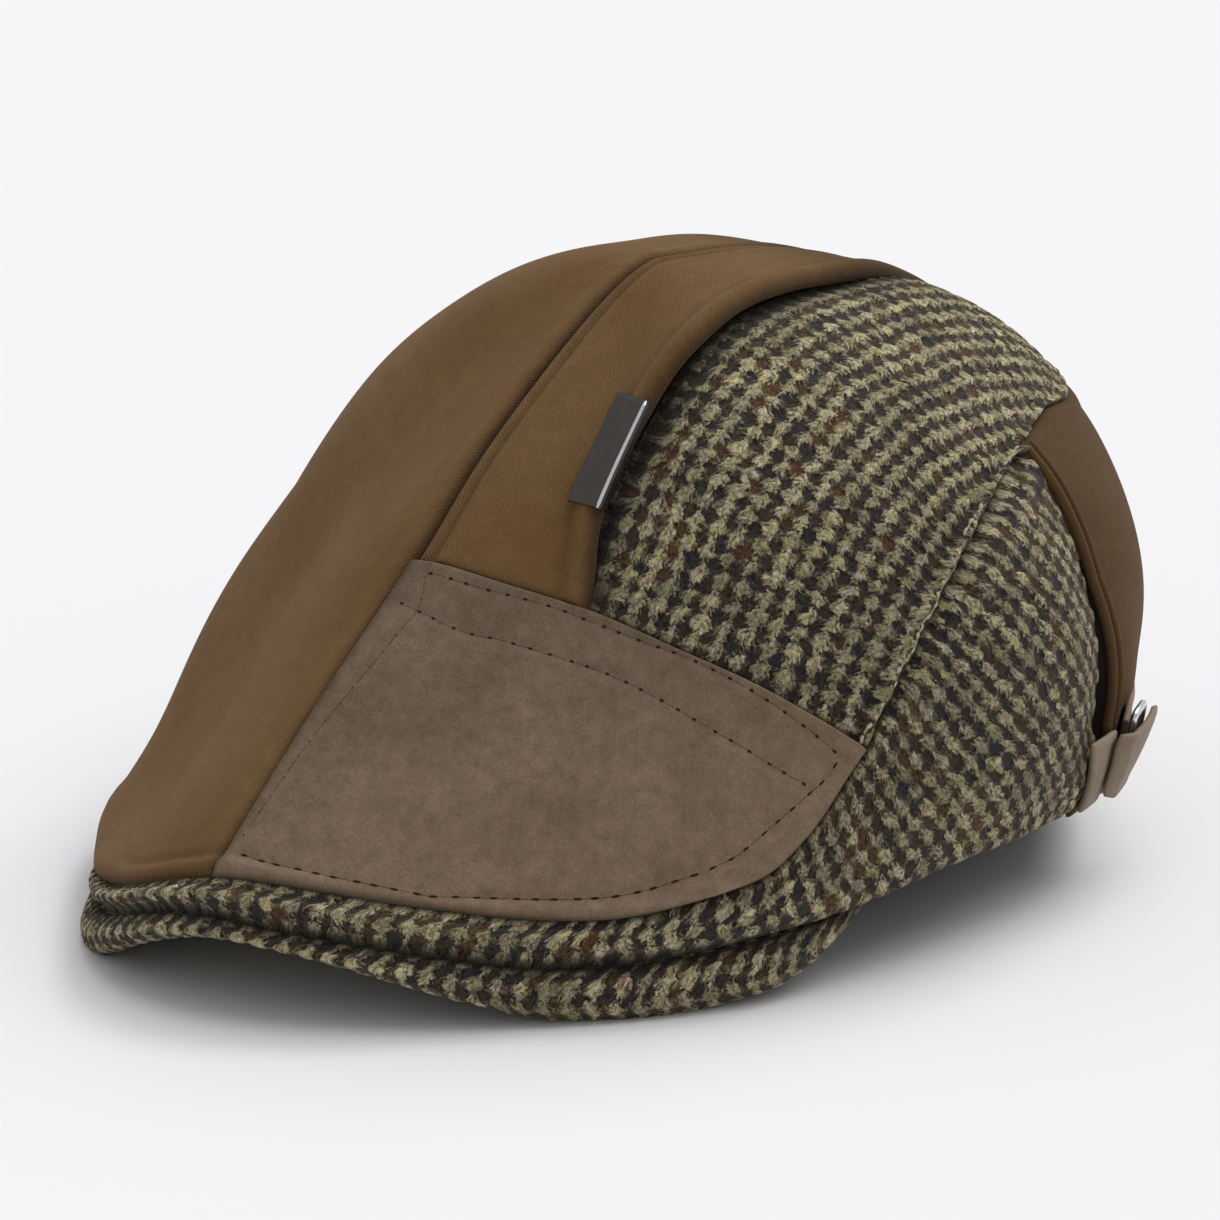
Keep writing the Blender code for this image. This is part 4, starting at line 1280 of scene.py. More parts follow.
def make_right_top(look):
    plan, _, _ = fine_plan(right_top_plan, PLAIN_STEP)

    def extra(base, away):
        low = eased(-around(plan), 18.0, 8.0)
        band = seam_puff(away["near"], height=0.0008, middle=0.0026, width=0.0018)
        band = band - groove(away["near"], place=HEM_STITCH, depth=0.0006) * low
        beside_seam = seam_puff(away["left"], width=0.0026)
        beside_seam = beside_seam - groove(away["left"], place=0.0009, depth=0.0009, width=0.0012)
        waves = 0.0007 * soft_noise(base, 0.034, 2.0) * eased(away["left"], 0.0, 0.02)
        return band + beside_seam + seam_puff(away["far"]) + seam_puff(away["right"]) + waves

    level = side_distances(on_crown(plan))
    corner = BROWN_CORNER * eased(-around(plan), 6.0, 18.0) * eased(-around(plan), 58.0, 38.0)
    lower = (BROWN_PROUD + corner) * bell(level["near"], 0.012)
    lift = seam_dip(level, ("left", "right", "far")) + crease_lift(plan) + lower
    rolls = {"near": 0.0018, "left": 0.0012, "right": 0.0006, "far": 0.0006}
    angle = -around(plan[0])
    reaches = {
        "near": 0.0003 + BROWN_REACH * eased(angle, 10.0, 25.0) * eased(angle, 70.0, 56.0),
        "left": 0.0020,
    }
    # Painted shade along the centre seam, the lower edge and the back edge
    painted_shades = (
        PaintedShade("left", place=0.0010, dark=0.88, width=0.0012),
        PaintedShade("near", place=0.0, dark=0.50, width=0.0009),
        PaintedShade("far", place=0.0, dark=0.40, width=0.0010),
    )
    return cloth_sheet(
        "right_top_cloth", "right_top_panel", plan, lift, CLOTH, look, rolls,
        extra=extra, reaches=reaches, painted_shades=painted_shades,
    )


def groove(distance, place, depth, width=0.0010):
    """A line of stitches pulls the cloth in at this distance from a side."""
    return depth * bell(distance - place, width)


def make_strip(look):
    plan, columns, rows = fine_plan(strip_plan, 0.0009)

    def extra(base, away):
        ridge = seam_puff(away["left"], height=0.0009, middle=0.0019, width=0.0011)
        ridge = ridge - groove(away["left"], place=0.0035, depth=0.0009, width=0.0008)
        shoulder = 0.0007 * bell(away["left"] - 0.0060, 0.0022)
        fold = 0.0008 * bell(away["right"] - 0.0034, 0.0017) * eased(away["far"], 0.03, 0.09)
        fold = fold - groove(away["right"], place=0.0068, depth=0.0006, width=0.0012)
        waves = 0.0004 * soft_noise(base, 0.022, 5.0) * eased(away["left"], 0.004, 0.012)
        return ridge + shoulder + fold + waves

    level = side_distances(on_crown(plan))
    ends = eased(level["near"], 0.0, 0.016) * eased(level["far"], STRIP_BACK_FADE[0], STRIP_BACK_FADE[1])
    raised = EDGE_LIFT * eased(level["right"], 0.011, 0.001) * ends
    lift = strip_lift(columns, rows) + seam_dip(level, ("left",)) + raised
    rolls = {"near": 0.0004, "left": 0.0007, "right": 0.0030, "far": 0.0006}
    # Painted shade along the centre seam and its stitch groove, under the raised free edge and its groove, and
    # at the suede's edge
    painted_shades = (
        PaintedShade("left", place=0.0, dark=0.60, width=0.0012),
        PaintedShade("left", place=0.0035, dark=0.22, width=0.0008),
        PaintedShade("right", place=0.0, dark=0.60, width=0.0018),
        PaintedShade("right", place=0.0068, dark=0.16, width=0.0012),
        PaintedShade("near", place=0.0, dark=0.50, width=0.0012),
    )
    return cloth_sheet(
        "strip_cloth", "centre_strip", plan, lift, STRIP_CLOTH, look, rolls,
        extra=extra, painted_shades=painted_shades,
    )


def tree_of(places):
    tree = KDTree(len(places))
    for index, place in enumerate(places):
        tree.insert(place, index)
    tree.balance()
    return tree


def beside_line(points, line):
    """How far points lie from a line over the round of the crown, and how far along it."""
    tree = tree_of(line)
    nearest = np.array([tree.find(place)[1] for place in points.reshape(-1, 3)]).reshape(points.shape[:-1])
    run = run_along(line)
    tangent = np.gradient(line, axis=0)
    tangent /= np.linalg.norm(tangent, axis=1, keepdims=True)
    offset = points - line[nearest]
    onward = (offset * tangent[nearest]).sum(-1)
    chord = np.sqrt(np.maximum((offset**2).sum(-1) - onward**2, 0.0))
    outward = points - np.array([0.0, TOP_Y, CROWN_HEIGHT / 3])
    side = np.sign((np.cross(offset, tangent[nearest]) * outward).sum(-1))
    arc = -side * 2 * CROWN_ROUND * np.arcsin(np.minimum(chord / (2 * CROWN_ROUND), 1.0))
    return arc, run[nearest] + onward


def make_left_top(look):
    plan, _, _ = fine_plan(left_top_plan, TWEED_STEP)

    def weave(base, away):
        shares = np.linspace(0.0, 1.0, 400)
        edge = on_crown(strip_edge(shares))
        smooth = np.stack([np.polyval(np.polyfit(shares, edge[:, axis], 2), shares) for axis in range(3)], -1)
        across, along = beside_line(base, smooth)
        return across / WEAVE_ACROSS, -along / WEAVE_ALONG

    def extra(base, away):
        pucker = PUCKER * np.sin(away["near"] * (2 * pi / PUCKER_PITCH)) * bell(away["right"], PUCKER_WIDTH)
        waves = 0.0005 * soft_noise(base, 0.028, 9.0) * eased(away["left"], 0.0, 0.015)
        side = seam_puff(away["right"], height=0.0018, middle=0.0019, width=0.0012)
        return side + seam_puff(away["far"]) + pucker + waves

    level = side_distances(on_crown(plan))
    dip = STRIP_SHADOW_DIP * bell(level["left"], 0.0050) * eased(level["far"], 0.040, 0.085)
    lift = seam_dip(level, ("right", "far")) - dip
    rolls = {"near": 0.0004, "left": 0.0004, "right": 0.0014, "far": 0.0009}
    reaches = {"left": 0.0025, "right": 0.0008, "far": 0.0005}
    # Painted shade: a broad band beside the strip for the shadow of its raised edge, and thin lines along the
    # other seams
    painted_shades = (
        PaintedShade("left", place=0.0, dark=0.85, width=0.0058),
        PaintedShade("right", place=0.0, dark=0.85, width=0.0009),
        PaintedShade("far", place=0.0, dark=0.60, width=0.0010),
        PaintedShade("near", place=0.0, dark=0.60, width=0.0010),
    )
    return cloth_sheet(
        "left_top_cloth", "left_top_panel", plan, lift, CLOTH, look, rolls,
        weave, extra, reaches, painted_shades,
    )


def make_suede(look):
    plan, _, _ = fine_plan(suede_plan, 0.0008)
    dents = sum(
        groove(from_line(plan, drawn_line(row.points)), 0.0, row.dent, row.dent_width) for row in SUEDE_ROWS
    )

    def extra(base, away):
        edge = np.minimum(away["near"], away["right"])
        band = 0.0008 * bell(edge - 0.0026, 0.0018)
        waves = 0.0005 * soft_noise(base, 0.021, 3.0) * eased(edge, 0.004, 0.012)
        return band - dents + waves

    rolls = {"near": 0.0014, "left": 0.0007, "right": 0.0014, "far": 0.0005}
    # Painted shade along the centre seam and the suede's lower and side edges
    painted_shades = (
        PaintedShade("left", place=0.0, dark=0.45, width=0.0011),
        PaintedShade("near", place=0.0, dark=0.35, width=0.0009),
        PaintedShade("right", place=0.0, dark=0.35, width=0.0009),
    )
    return cloth_sheet(
        "suede_cloth", "suede_patch", plan, SUEDE_PROUD, CLOTH, look, rolls, extra=extra,
        reaches={"left": 0.0005}, painted_shades=painted_shades,
    )


def make_side(name, node, sign, step, look):
    plan, _, up = fine_plan(side_plan_of(sign), step)
    later = 0.0 if sign > 0 else FAR_BIAS_LATER

    def weave(base, away):
        along = away["left"]
        steps = np.diff(along, axis=1, prepend=0.0)
        bias = radians(SIDE_BIAS) * eased(along, BIAS_START + later, BIAS_END + later)
        u = np.cumsum(np.cos(bias) * steps, axis=1) + np.sin(bias) * away["near"]
        v = np.cumsum(np.sin(bias) * steps, axis=1) - np.cos(bias) * away["near"]
        return sign * u / WEAVE_ACROSS, v / WEAVE_ALONG

    def extra(base, away):
        over_ear = eased(np.abs(around(plan)), SIDE_SEAM[0].angle, SIDE_SEAM[0].angle + 8.0)
        puff = seam_puff(away["far"], height=0.0008, middle=0.0065, width=0.0030)
        seam = (puff - groove(away["far"], place=0.0010, depth=0.0011, width=0.0022)) * over_ear
        pucker = PUCKER * np.sin(away["left"] * (2 * pi / PUCKER_PITCH)) * bell(away["far"], PUCKER_WIDTH)
        pucker = pucker * over_ear
        waves = 0.0006 * soft_noise(base, 0.030, 12.0) * eased(away["near"], 0.004, 0.02) * over_ear
        return seam + pucker + waves

    lift = side_lift(plan, up) + crease_lift(plan)
    if sign < 0:
        lift = lift - 0.9 * side_bulge(plan, up) * eased(np.abs(around(plan)), 20.0, 32.0)
    rolls = {"near": 0.0045, "far": 0.0012, "right": 0.0014}
    reaches = {"far": 0.0006, "near": -groove_rise(around(plan[0]))}
    # Painted shade along the hem, in the groove above the peak, along the upper seam and at the back edge
    painted_shades = (
        PaintedShade("near", place=0.0, dark=0.93, width=0.0015),
        PaintedShade("far", place=0.0, dark=0.85, width=0.0013),
        PaintedShade("right", place=0.0, dark=0.60, width=0.0012),
    )
    return cloth_sheet(name, node, plan, lift, CLOTH, look, rolls, weave, extra, reaches, painted_shades)


def strap_press(angles):
    """How far the strap pulls the cloth in, past the buckle on either side of the back."""
    return STRAP_PRESS * eased(np.minimum(angles, 360.0 - angles), *STRAP_PRESS_ANGLES)


def back_lift(plan):
    folds = open_seam_fold(plan, slice(0, 1)) + open_seam_fold(plan, slice(-1, None))
    share = np.hypot(plan[..., 0], plan[..., 1])
    pressed = strap_press(np.abs(around(plan))) * eased(share, *STRAP_PRESS_SHARES)
    return crease_lift(plan) + seam_dip(side_distances(on_crown(plan)), ("far",)) - folds - pressed


def slit_opening(plan):
    """From 0 where the back panel's side seams are closed to 1 where they stand open."""
    share = np.hypot(plan[..., 0], plan[..., 1])
    return eased(share, SLIT_TOP_SHARE, SLIT_FOOT_SHARE) * eased(share, *UNDER_STRAP)


def back_recess(plan):
    """The open seam's floor, between the side panel's edge and the cord."""
    away = side_distances(on_crown(plan))
    nearest = np.minimum(away["left"], away["right"])
    opening = slit_opening(plan)
    width = SLIT_WIDTH * (0.25 + 0.75 * opening)
    return SLIT_DEPTH * opening * eased(nearest, 1.05 * width, 0.55 * width)


def make_back(look, floor):
    plan, _, _ = fine_plan(back_plan, PLAIN_STEP)

    def extra(base, away):
        open_side = np.minimum(away["left"], away["right"])
        bare = eased(np.hypot(plan[..., 0], plan[..., 1]), STRAP_TOP_SHARE, STRAP_TOP_SHARE - 0.08)
        waves = 0.0008 * soft_noise(base, 0.030, 21.0) * bare * eased(open_side, 0.003, 0.015)
        return seam_puff(away["far"], height=0.0009, middle=0.0030) + waves

    lift = back_lift(plan) - back_recess(plan)
    rolls = {"near": 0.0009, "far": 0.0006, "left": 0.0009, "right": 0.0009}
    opening = slit_opening(plan)
    borders = {"left": slice(0, 1), "right": slice(-1, None)}
    reaches = {side: BACK_REACH_OUT + SLIT_TUCK * opening[:, border] for side, border in borders.items()}
    made = cloth_sheet(
        "back_cloth", "back_panel", plan, lift, CLOTH, look, rolls,
        extra=extra, reaches=reaches,
    )
    # Painted shade: the faces down in the open slit take a near-black material that stands for the shadow there
    away = side_distances(on_crown(plan))
    inside = np.minimum(away["left"], away["right"]) < SLIT_WIDTH * (0.25 + 0.75 * opening) * 1.04
    inside &= opening > 0.04
    mesh = made[0].data
    mesh.materials.append(floor)
    slots = np.zeros(len(mesh.polygons), np.int32)
    slots[: (plan.shape[0] - 1) * (plan.shape[1] - 1)] = inside[:-1, :-1].ravel()
    mesh.polygons.foreach_set("material_index", slots)
    return made


def closed_curve(points, steps):
    """A smooth closed line through these points, steps apart."""
    part = np.linspace(0.0, 1.0, steps, endpoint=False)[:, None]
    count = len(points)
    lines = [curve_between(*(points[(k + j) % count] for j in (-1, 0, 1, 2)), part) for k in range(count)]
    return np.vstack(lines)


def make_peak(look):
    """The peak's rounded section swept round the front, its ends closed to a round tip."""
    angles = np.linspace(-PEAK_HALF_ANGLE, PEAK_HALF_ANGLE, PEAK_ANGLE_STEPS + 1)
    rings = np.array([closed_curve(np.array(peak_section(angle)), PEAK_OUTLINE_STEPS) for angle in angles])
    turn = np.radians(angles)[:, None]
    points = np.stack([rings[..., 0] * np.sin(turn), TOP_Y - rings[..., 0] * np.cos(turn), rings[..., 1]], -1)
    along = lengths_along(points, 0)
    from_end = np.minimum(along, along[-1:] - along).min(1)
    shrink = np.sin(0.5 * pi * np.clip(from_end / PEAK_END_LENGTH, 0.04, 1.0))[:, None, None]
    centre = points.mean(1, keepdims=True)
    tucked = centre.copy()
    tucked[..., 2] = points[..., 2].max(1, keepdims=True) - 0.0006
    points = tucked + (points - tucked) * shrink
    centre = points.mean(1, keepdims=True)
    wrapped = np.concatenate([points, points[:, :1]], 1)
    down = lengths_along(wrapped, 1)[:, :-1]
    middle = along[PEAK_ANGLE_STEPS // 2][None]
    u, v = (along - middle) / WEAVE_ACROSS, down / WEAVE_ALONG
    padded = np.concatenate([points[:, -1:], points, points[:, :1]], 1)
    normal = np.cross(np.gradient(points, axis=0), np.gradient(padded, axis=1)[:, 1:-1])
    normal /= np.maximum(np.linalg.norm(normal, axis=-1, keepdims=True), 1e-12)
    if ((points - centre) * normal).sum() < 0:
        normal = -normal
    fade = np.clip(from_end / PEAK_END_LENGTH, 0.0, 1.0)[:, None]
    u, v = straying(points, u, v)
    points = points + normal * (WEAVE_RELIEF * (weave_height(u, v) - 0.6) * fade)[..., None]
    points[..., 2] = np.maximum(points[..., 2], 0.0)
    mesh = closed_mesh("peak_cloth", points.reshape(-1, 3), tube_faces(*points.shape[:2]))
    add_cloth_places(mesh, np.stack([u, v, np.full(u.shape, SEEDS["peak"])], -1))
    # Painted shade along the groove between the peak's two rolls
    add_painted_shade(mesh, (PEAK_PAINTED_SHADE * bell(down, PEAK_PAINTED_SHADE_WIDTH) * fade).ravel())
    obj = add_piece("peak_cloth", mesh, [look])
    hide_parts("peak")
    return obj


def strap_sheet(name, node, plan_of, lift_of, look):
    across, along = grid_lengths(plan_of)
    columns, rows = shares_of(across, 0.0009, 0.0006), shares_of(along, 0.0009, 0.0006)
    plan = plan_of(columns, rows)
    lift = lift_of(columns, rows)
    rolls = {side: STRAP / 2 for side in ("near", "far", "left", "right")}

    def extra(base, away):
        nearest = np.minimum.reduce(list(away.values()))
        bead = 0.00025 * bell(nearest - 0.0016, 0.0009)
        return bead - groove(nearest, place=0.0030, depth=0.0002, width=0.0006)

    return cloth_sheet(name, node, plan, lift, STRAP, look, rolls, extra=extra)


def tongue_lift(columns, rows):
    """The strap's end turns back from its fold and stands off more at its top."""
    outside = REST_CLEARANCE + STRAP
    free = 2 * outside + TONGUE_LIFT * (0.55 + 0.45 * rows[:, None])
    climb = eased(columns[None, :], -0.08, 0.16)
    return 1.2 * outside + (free - 1.2 * outside) * climb


def band_lift(columns, rows):
    """The strap stands on the cloth and sinks into it past the buckle."""
    angles = STRAP_FRONT_ANGLE + (360.0 - TAB_FRONT_ANGLE - STRAP_FRONT_ANGLE) * columns
    return np.broadcast_to(REST_CLEARANCE + STRAP - strap_press(angles), (len(rows), len(columns)))


def make_straps(look):
    outside = REST_CLEARANCE + STRAP
    pieces = (
        (
            "strap_tab", "left_strap_tab",
            lambda columns, rows: band_plan(TAB_FRONT_ANGLE, TONGUE_FRONT_ANGLE - 0.4, columns, rows),
            lambda columns, rows: outside,
        ),
        (
            "strap_band", "back_strap",
            lambda columns, rows: band_plan(STRAP_FRONT_ANGLE, 360.0 - TAB_FRONT_ANGLE, columns, rows),
            band_lift,
        ),
        (
            "strap_tongue", "strap_end",
            lambda columns, rows: band_plan(
                TONGUE_START_ANGLE, TONGUE_END_ANGLE, columns, rows,
                rounding=TONGUE_ROUNDING, foot=STRAP_FOOT_SHARE - TONGUE_SHORTER,
            ),
            tongue_lift,
        ),
    )
    for name, node, plan_of, lift_of in pieces:
        strap_sheet(name, node, plan_of, lift_of, look)


def tube_mesh(line, normals, radius, swell, sides=12):
    """A closed tube along a line of points, its section upright on the given normals."""
    line = np.asarray(line, float)
    along = np.gradient(line, axis=0)
    along /= np.linalg.norm(along, axis=1, keepdims=True)
    up = normals - (normals * along).sum(1, keepdims=True) * along
    up /= np.linalg.norm(up, axis=1, keepdims=True)
    side = np.cross(along, up)
    turns = np.linspace(0.0, 2 * pi, sides, endpoint=False)
    size = radius * swell
    ring = np.cos(turns)[None, :, None] * side[:, None] + np.sin(turns)[None, :, None] * up[:, None]
    points = line[:, None] + ring * size[:, None, None]
    return points.reshape(-1, 3), tube_faces(len(line), sides)


def join_meshes(name, parts, looks):
    """Several (points, faces, material index) as one mesh, each turned to face out."""
    places, faces, slots = [], [], []
    start = 0
    for points, part_faces, slot in parts:
        places.append(points)
        faces += [[index + start for index in face] for face in part_faces]
        slots += [slot] * len(part_faces)
        start += len(points)
    return add_piece(name, closed_mesh(name, np.concatenate(places), faces, slots), looks)


def make_pipings(look):
    """Two cords side by side along each open edge of the back panel, further from it where the seam is open."""
    columns = np.linspace(0.0, 0.12, 61)
    up = np.linspace(PIPING_START_SHARE, 0.985, 150)
    plan = back_plan(np.append(columns, 1.0), up)
    lift, opening = back_lift(plan)[:, :-1], slit_opening(plan)[:, 0]
    away = side_distances(on_crown(plan))["left"][:, :-1]
    plan = plan[:, :-1]
    sides = (("left_piping", "left_back_piping", 1.0), ("right_piping", "right_back_piping", -1.0))
    for name, node, side in sides:
        parts = []
        for place, radius, proud in ((0.0, PIPING_RADIUS * 1.1, 0.60), (0.0031, PIPING_RADIUS * 1.0, 0.45)):
            wanted = place + 0.0014 + (SLIT_WIDTH - 0.0010) * opening
            counts = np.arange(away.shape[1])
            index = np.array([np.interp(distance, row, counts) for distance, row in zip(wanted, away)])
            low = index.astype(int)
            part = (index - low)[:, None]
            rows = np.arange(len(up))
            spots_there = plan[rows, low] * (1 - part) + plan[rows, low + 1] * part
            high = lift[rows, low] * (1 - part[:, 0]) + lift[rows, low + 1] * part[:, 0]
            line = on_crown(spots_there, high + radius * proud) * (side, 1.0, 1.0)
            normal = crown_normal(spots_there[:, 0], spots_there[:, 1]) * (side, 1.0, 1.0)
            swell = 1.0 + 0.05 * np.sin(np.arange(len(line)) * 1.9)
            ends = np.minimum(np.arange(len(line)), np.arange(len(line))[::-1])
            swell = swell * np.sqrt(np.clip((ends + 0.4) / 3.0, 0.0, 1.0))
            parts.append((*tube_mesh(line, normal, radius, swell), 0))
        obj = join_meshes(name, parts, [look])
        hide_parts(node)


def make_plate(face, edge):
    """A plain metal plate on the strip's free edge: a dark face and a bright bevel turned down over it."""
    columns = np.linspace(LABEL_INNER_SHARE, 1.0, 13)
    rows = np.linspace(LABEL_FRONT_SHARE, LABEL_BACK_SHARE, 25)
    raised = EDGE_LIFT * 0.8 * columns[None, :] ** 2
    base = on_crown(strip_plan(columns, rows), strip_lift(columns, rows) + LABEL_GAP + LABEL + raised)
    along = np.linspace(0.0, 1.0, len(rows))[:, None, None]
    base = PLATE_FLATNESS * ((1.0 - along) * base[:1] + along * base[-1:]) + (1.0 - PLATE_FLATNESS) * base
    normal = normals_of(base)
    out = base[:, -1] - base[:, -2]
    out /= np.linalg.norm(out, axis=1, keepdims=True)
    down = normal[:, -1]
    turned = [base[:, -1] + out * a - down * b for a, b in PLATE_TURN]
    outer = np.concatenate([base, np.stack(turned, 1)], 1)
    normal = normals_of(outer)
    away = side_distances(outer)
    drop = np.maximum(rolled(away["near"], 0.0003), rolled(away["far"], 0.0003))
    drop = np.maximum(drop, rolled(away["left"], 0.0003))
    outer = outer - normal * drop[..., None]
    inner = outer - normal * 0.0006
    rows_count, columns_count = outer.shape[:2]
    ids = np.arange(rows_count * columns_count).reshape(rows_count, columns_count)
    faces, slots = [], []
    for row in range(rows_count - 1):
        for col in range(columns_count - 1):
            a, b, c, d = ids[row, col], ids[row, col + 1], ids[row + 1, col + 1], ids[row + 1, col]
            faces.append([a, b, c, d])
            faces.append([d + ids.size, c + ids.size, b + ids.size, a + ids.size])
            slots += [1 if len(columns) - 1 <= col < len(columns) + 1 else 0] * 2
    border = [*ids[0, :], *ids[1:, -1], *ids[-1, -2::-1], *ids[-2:0:-1, 0]]
    for first, second in zip(border, border[1:] + border[:1]):
        faces.append([second, first, first + ids.size, second + ids.size])
        slots.append(0)
    places = np.concatenate([outer.reshape(-1, 3), inner.reshape(-1, 3)])
    faces = [[int(index) for index in face] for face in faces]
    mesh = closed_mesh("plate", places, faces, slots, smooth=False)
    obj = add_piece("plate", mesh, [face, edge])
    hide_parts("label_plate")


def make_buckle(look):
    """A flat metal frame with rounded bars round the strap, and the bar that its end folds over."""
    count = 96
    turns = np.linspace(0.0, 2 * pi, count, endpoint=False)
    along = np.sign(np.cos(turns)) * np.abs(np.cos(turns)) ** BUCKLE_ROUNDING
    up = np.sign(np.sin(turns)) * np.abs(np.sin(turns)) ** BUCKLE_ROUNDING
    middle = (STRAP_TOP_SHARE + STRAP_FOOT_SHARE) / 2 - BUCKLE_RAISE
    angles = BUCKLE_ANGLE - BUCKLE_SHIFT + BUCKLE_HALF_ANGLE * along
    plan = on_strap(angles, middle - (BUCKLE_HALF_SHARE - BUCKLE_INSET_SHARE) * up)
    line = on_crown(plan, 2 * REST_CLEARANCE + STRAP + BUCKLE_WIRE)
    normal = crown_normal(plan[:, 0], plan[:, 1])
    centre = line.mean(0)
    out = line - centre
    out -= (out * normal).sum(1, keepdims=True) * normal
    out /= np.linalg.norm(out, axis=1, keepdims=True)
    sides = 12
    section = np.linspace(0.0, 2 * pi, sides, endpoint=False)
    wide = 1.55 * BUCKLE_WIRE * np.sign(np.cos(section)) * np.abs(np.cos(section)) ** 0.6
    tall = 0.95 * BUCKLE_WIRE * np.sign(np.sin(section)) * np.abs(np.sin(section)) ** 0.6
    points = line[:, None] + out[:, None] * wide[None, :, None] + normal[:, None] * tall[None, :, None]
    ids = np.arange(count * sides).reshape(count, sides)
    nxt, turned = np.roll(ids, -1, axis=0), np.roll(ids, -1, axis=1)
    both = np.roll(nxt, -1, axis=1)
    faces = np.stack([ids, turned, both, nxt], -1).reshape(-1, 4).tolist()
    obj = join_meshes("buckle_frame", [(points.reshape(-1, 3), faces, 0)], [look])
    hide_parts("buckle")


def seated(outer):
    """A function that sets points of the crown down on a piece's outer surface, with its normal."""
    flat = outer.reshape(-1, 3)
    tree = tree_of(flat)
    normals = normals_of(outer).reshape(-1, 3)

    def seat(points):
        found = []
        for point in points:
            near = tree.find_n(point, 4)
            weights = np.array([1.0 / (distance + 1e-5) for _, _, distance in near])
            indices = [index for _, index, _ in near]
            weights /= weights.sum()
            normal = (normals[indices] * weights[:, None]).sum(0)
            normal /= np.linalg.norm(normal)
            place = (flat[indices] * weights[:, None]).sum(0)
            found.append((point + normal * ((place - point) @ normal), normal))
        return np.array([place for place, _ in found]), np.array([normal for _, normal in found])

    return seat


# Rows of stitches on the suede, as points of the disc
TOP_STITCHES = (
    Spot(0.090, -0.553), Spot(0.170, -0.541), Spot(0.230, -0.525), Spot(0.300, -0.502), Spot(0.355, -0.485),
    Spot(0.430, -0.458), Spot(0.500, -0.425), Spot(0.625, -0.362), Spot(0.742, -0.300),
)
INNER_STITCHES = (
    Spot(0.078, -0.590), Spot(0.183, -0.587), Spot(0.252, -0.568), Spot(0.323, -0.545), Spot(0.400, -0.518),
    Spot(0.478, -0.492), Spot(0.578, -0.455), Spot(0.680, -0.405), Spot(0.744, -0.364),
)
LEFT_STITCHES = (
    Spot(0.094, -0.548), Spot(0.118, -0.585), Spot(0.114, -0.623), Spot(0.103, -0.688), Spot(0.095, -0.750),
    Spot(0.092, -0.820), Spot(0.090, -0.885),
)
RIGHT_STITCHES = (Spot(0.742, -0.300), Spot(0.748, -0.358), Spot(0.728, -0.497), Spot(0.698, -0.568))
FOOT_STITCHES = (
    Spot(0.095, -0.897), Spot(0.155, -0.897), Spot(0.245, -0.882), Spot(0.343, -0.853), Spot(0.405, -0.823),
    Spot(0.560, -0.720), Spot(0.635, -0.652), Spot(0.698, -0.568),
)


# Each row's pitch, the length and radius of its dashes, its thread's radius, and the dent that it pulls
StitchRow = namedtuple("StitchRow", "points pitch dash thick thread dent dent_width")
SUEDE_ROWS = (
    StitchRow(
        TOP_STITCHES, pitch=STITCH_PITCH, dash=0.0012, thick=0.00042, thread=0.00009,
        dent=0.00040, dent_width=0.0009,
    ),
    StitchRow(
        INNER_STITCHES, pitch=STITCH_PITCH, dash=0.0012, thick=0.00038, thread=0.00009,
        dent=0.00045, dent_width=0.0011,
    ),
    StitchRow(
        LEFT_STITCHES, pitch=STITCH_PITCH * 1.1, dash=0.0007, thick=0.00018, thread=0.00010,
        dent=0.00035, dent_width=0.0008,
    ),
    StitchRow(
        RIGHT_STITCHES, pitch=STITCH_PITCH, dash=0.0018, thick=0.00032, thread=0.00010,
        dent=0.00050, dent_width=0.0011,
    ),
    StitchRow(
        FOOT_STITCHES, pitch=STITCH_PITCH * 0.95, dash=0.0021, thick=0.00038, thread=0.00010,
        dent=0.00065, dent_width=0.0012,
    ),
)

# The raised stitching beside the side seam
RIDGE_PITCH = 0.0027
RIDGE_DASH = 0.0021
RIDGE_THICK = 0.00062
RIDGE_THREAD = 0.00026


def drawn_line(points, step=0.0003):
    """Disc points close together along a smooth line, about a step apart on the crown."""
    line = smooth_line(np.array(points, float))
    run = run_along(on_crown(line))
    wanted = np.linspace(0.0, run[-1], int(run[-1] / step) + 2)
    return places_along(line, run, wanted)


def from_line(plan, line):
    """How far the points of a grid lie from a line of disc points."""
    tree = tree_of(on_crown(line))
    flat = on_crown(plan).reshape(-1, 3)
    return np.array([tree.find(place)[2] for place in flat]).reshape(plan.shape[:2])


def make_stitches(name, outer, rows, looks):
    """Rows of stitches: short dashes where the thread dives in, in a second look that on the suede is near
    black, painted shade of the needle holes, and a thin thread between them.
    """
    seat = seated(outer)
    parts = []
    for line, pitch, dash, thick, thread in rows:
        line = on_crown(line)
        run = run_along(line)
        count = max(1, int(run[-1] / pitch))
        pitch = run[-1] / count
        shifts = 0.10 * pitch * np.sin(np.arange(count + 1) * 2.3)
        for k in range(count):
            middle = (k + 0.5) * pitch + shifts[k]
            for reach, shape, radius, sunk, look in (
                (dash, DASH_SHAPE, thick, 0.45, 1),
                (pitch * STITCH_SHARE, THREAD_SHAPE, thread, 0.50, 0),
            ):
                start = middle if look == 1 else middle + pitch / 2
                wanted = np.clip(start + np.linspace(-0.5, 0.5, len(shape)) * reach, 0.0, run[-1])
                if wanted[-1] - wanted[0] < 0.8 * reach:
                    continue
                places, normals = seat(places_along(line, run, wanted))
                places = places - normals * radius * sunk
                swell = np.array(shape)
                parts.append((*tube_mesh(places, normals, radius, swell, sides=6), look))
    obj = join_meshes(name, parts, looks)
    return obj


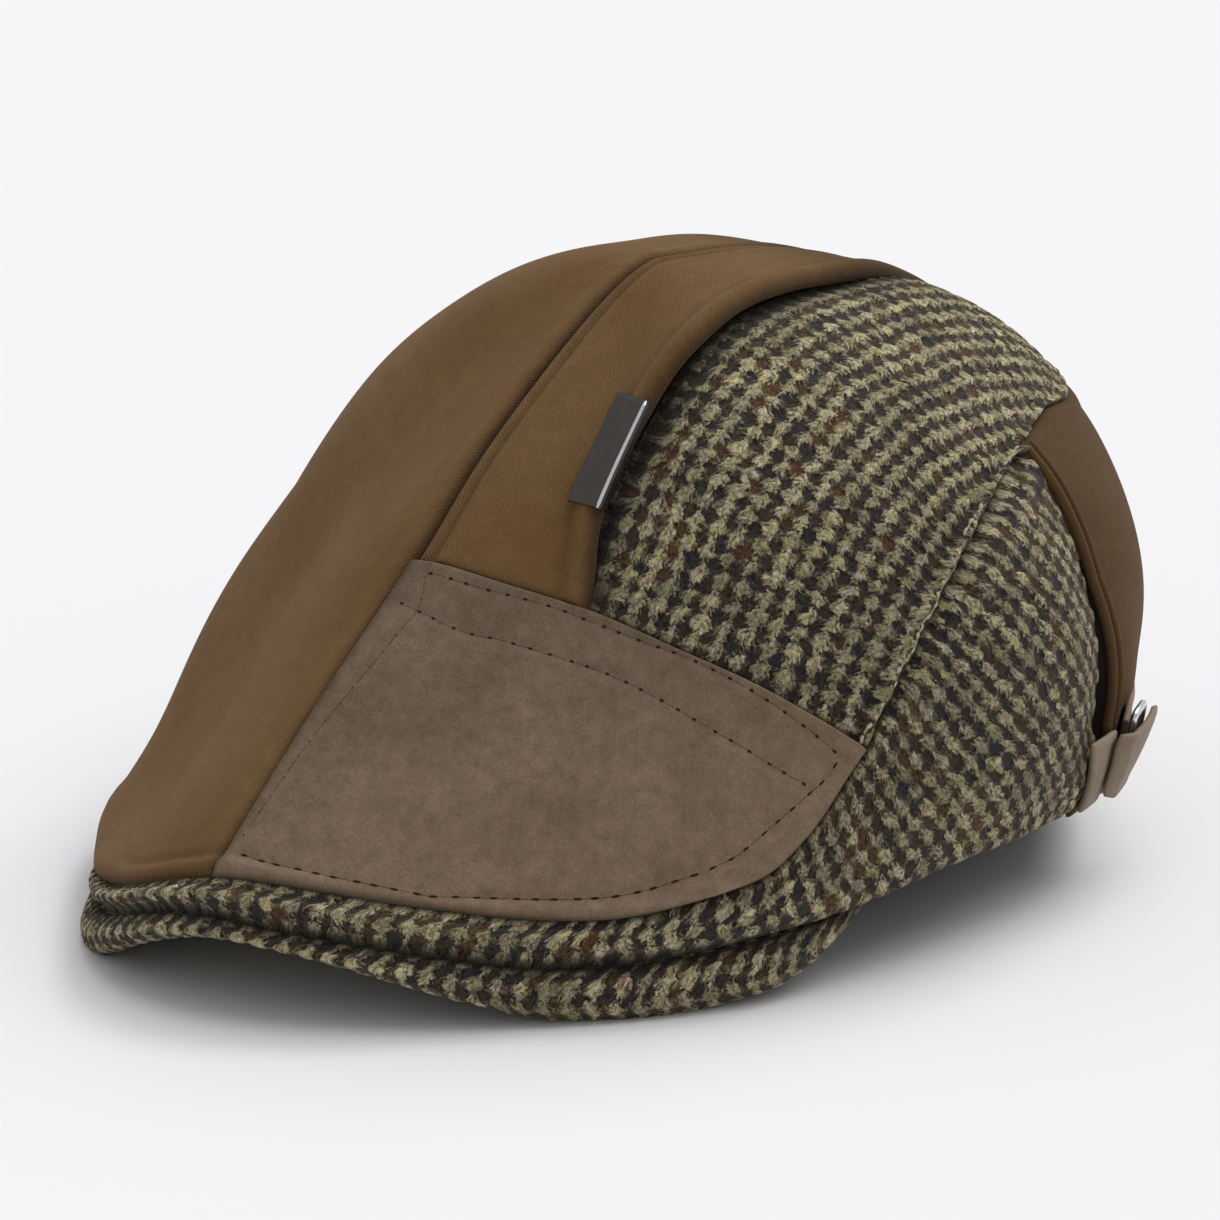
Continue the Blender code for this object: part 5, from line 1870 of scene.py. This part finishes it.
def line_at(plan, away, side, distance):
    """The line of disc points that runs at a distance from one side of a grid."""
    near = {"near": (plan, away["near"]), "far": (plan[::-1], away["far"][::-1])}
    if side in near:
        grid, depth = near[side]
        grid, depth = np.swapaxes(grid, 0, 1), depth.T
    else:
        grid, depth = (plan, away["left"]) if side == "left" else (plan[:, ::-1], away["right"][:, ::-1])
    return np.array([[np.interp(distance, d, g[:, axis]) for axis in range(2)] for g, d in zip(grid, depth)])


def main():
    make_camera()
    make_studio()
    tweed, brown, suede = tweed_material(), brown_material(), suede_material()
    leather = leather_material()
    gunmetal = metal_material("gunmetal", (0.105, 0.095, 0.088), 0.40, (300.0, 300.0, 40.0))
    bright = metal_material("bright_edge", (0.80, 0.80, 0.82), 0.22, (300.0, 300.0, 40.0))
    steel = metal_material("buckle_steel", (0.72, 0.72, 0.74), 0.25, (400.0, 400.0, 400.0))
    # Painted shade of the needle holes: a near-black look for the stitches' dashes
    painted_hole_shade = thread_material("needle_hole_painted_shade", (0.018, 0.011, 0.007))
    suede_thread = thread_material("suede_thread", (0.080, 0.055, 0.037))
    seam_wool = thread_material("seam_wool", (0.44, 0.39, 0.27))
    make_right_top(brown)
    make_strip(brown)
    left_top = make_left_top(tweed)
    suede_outer = make_suede(suede)[1]
    make_stitches(
        "suede_stitches",
        suede_outer,
        [(drawn_line(row.points), row.pitch, row.dash, row.thick, row.thread) for row in SUEDE_ROWS],
        (suede_thread, painted_hole_shade),
    )
    seam_line = line_at(left_top[3], left_top[2], "right", SEAM_RIDGE)
    ridge = (seam_line, RIDGE_PITCH, RIDGE_DASH, RIDGE_THICK, RIDGE_THREAD)
    make_stitches("seam_ridge", left_top[1], (ridge,), (seam_wool, seam_wool))
    make_side("left_side_cloth", "left_side_panel", 1.0, TWEED_STEP, tweed)
    make_side("right_side_cloth", "right_side_panel", -1.0, FAR_TWEED_STEP, tweed)
    # The open slit's painted shade: a near-black material
    make_back(brown, thread_material("slit_painted_shade", (0.006, 0.004, 0.003)))
    make_peak(tweed)
    make_straps(leather)
    make_pipings(brown)
    make_plate(gunmetal, bright)
    make_buckle(steel)


main()
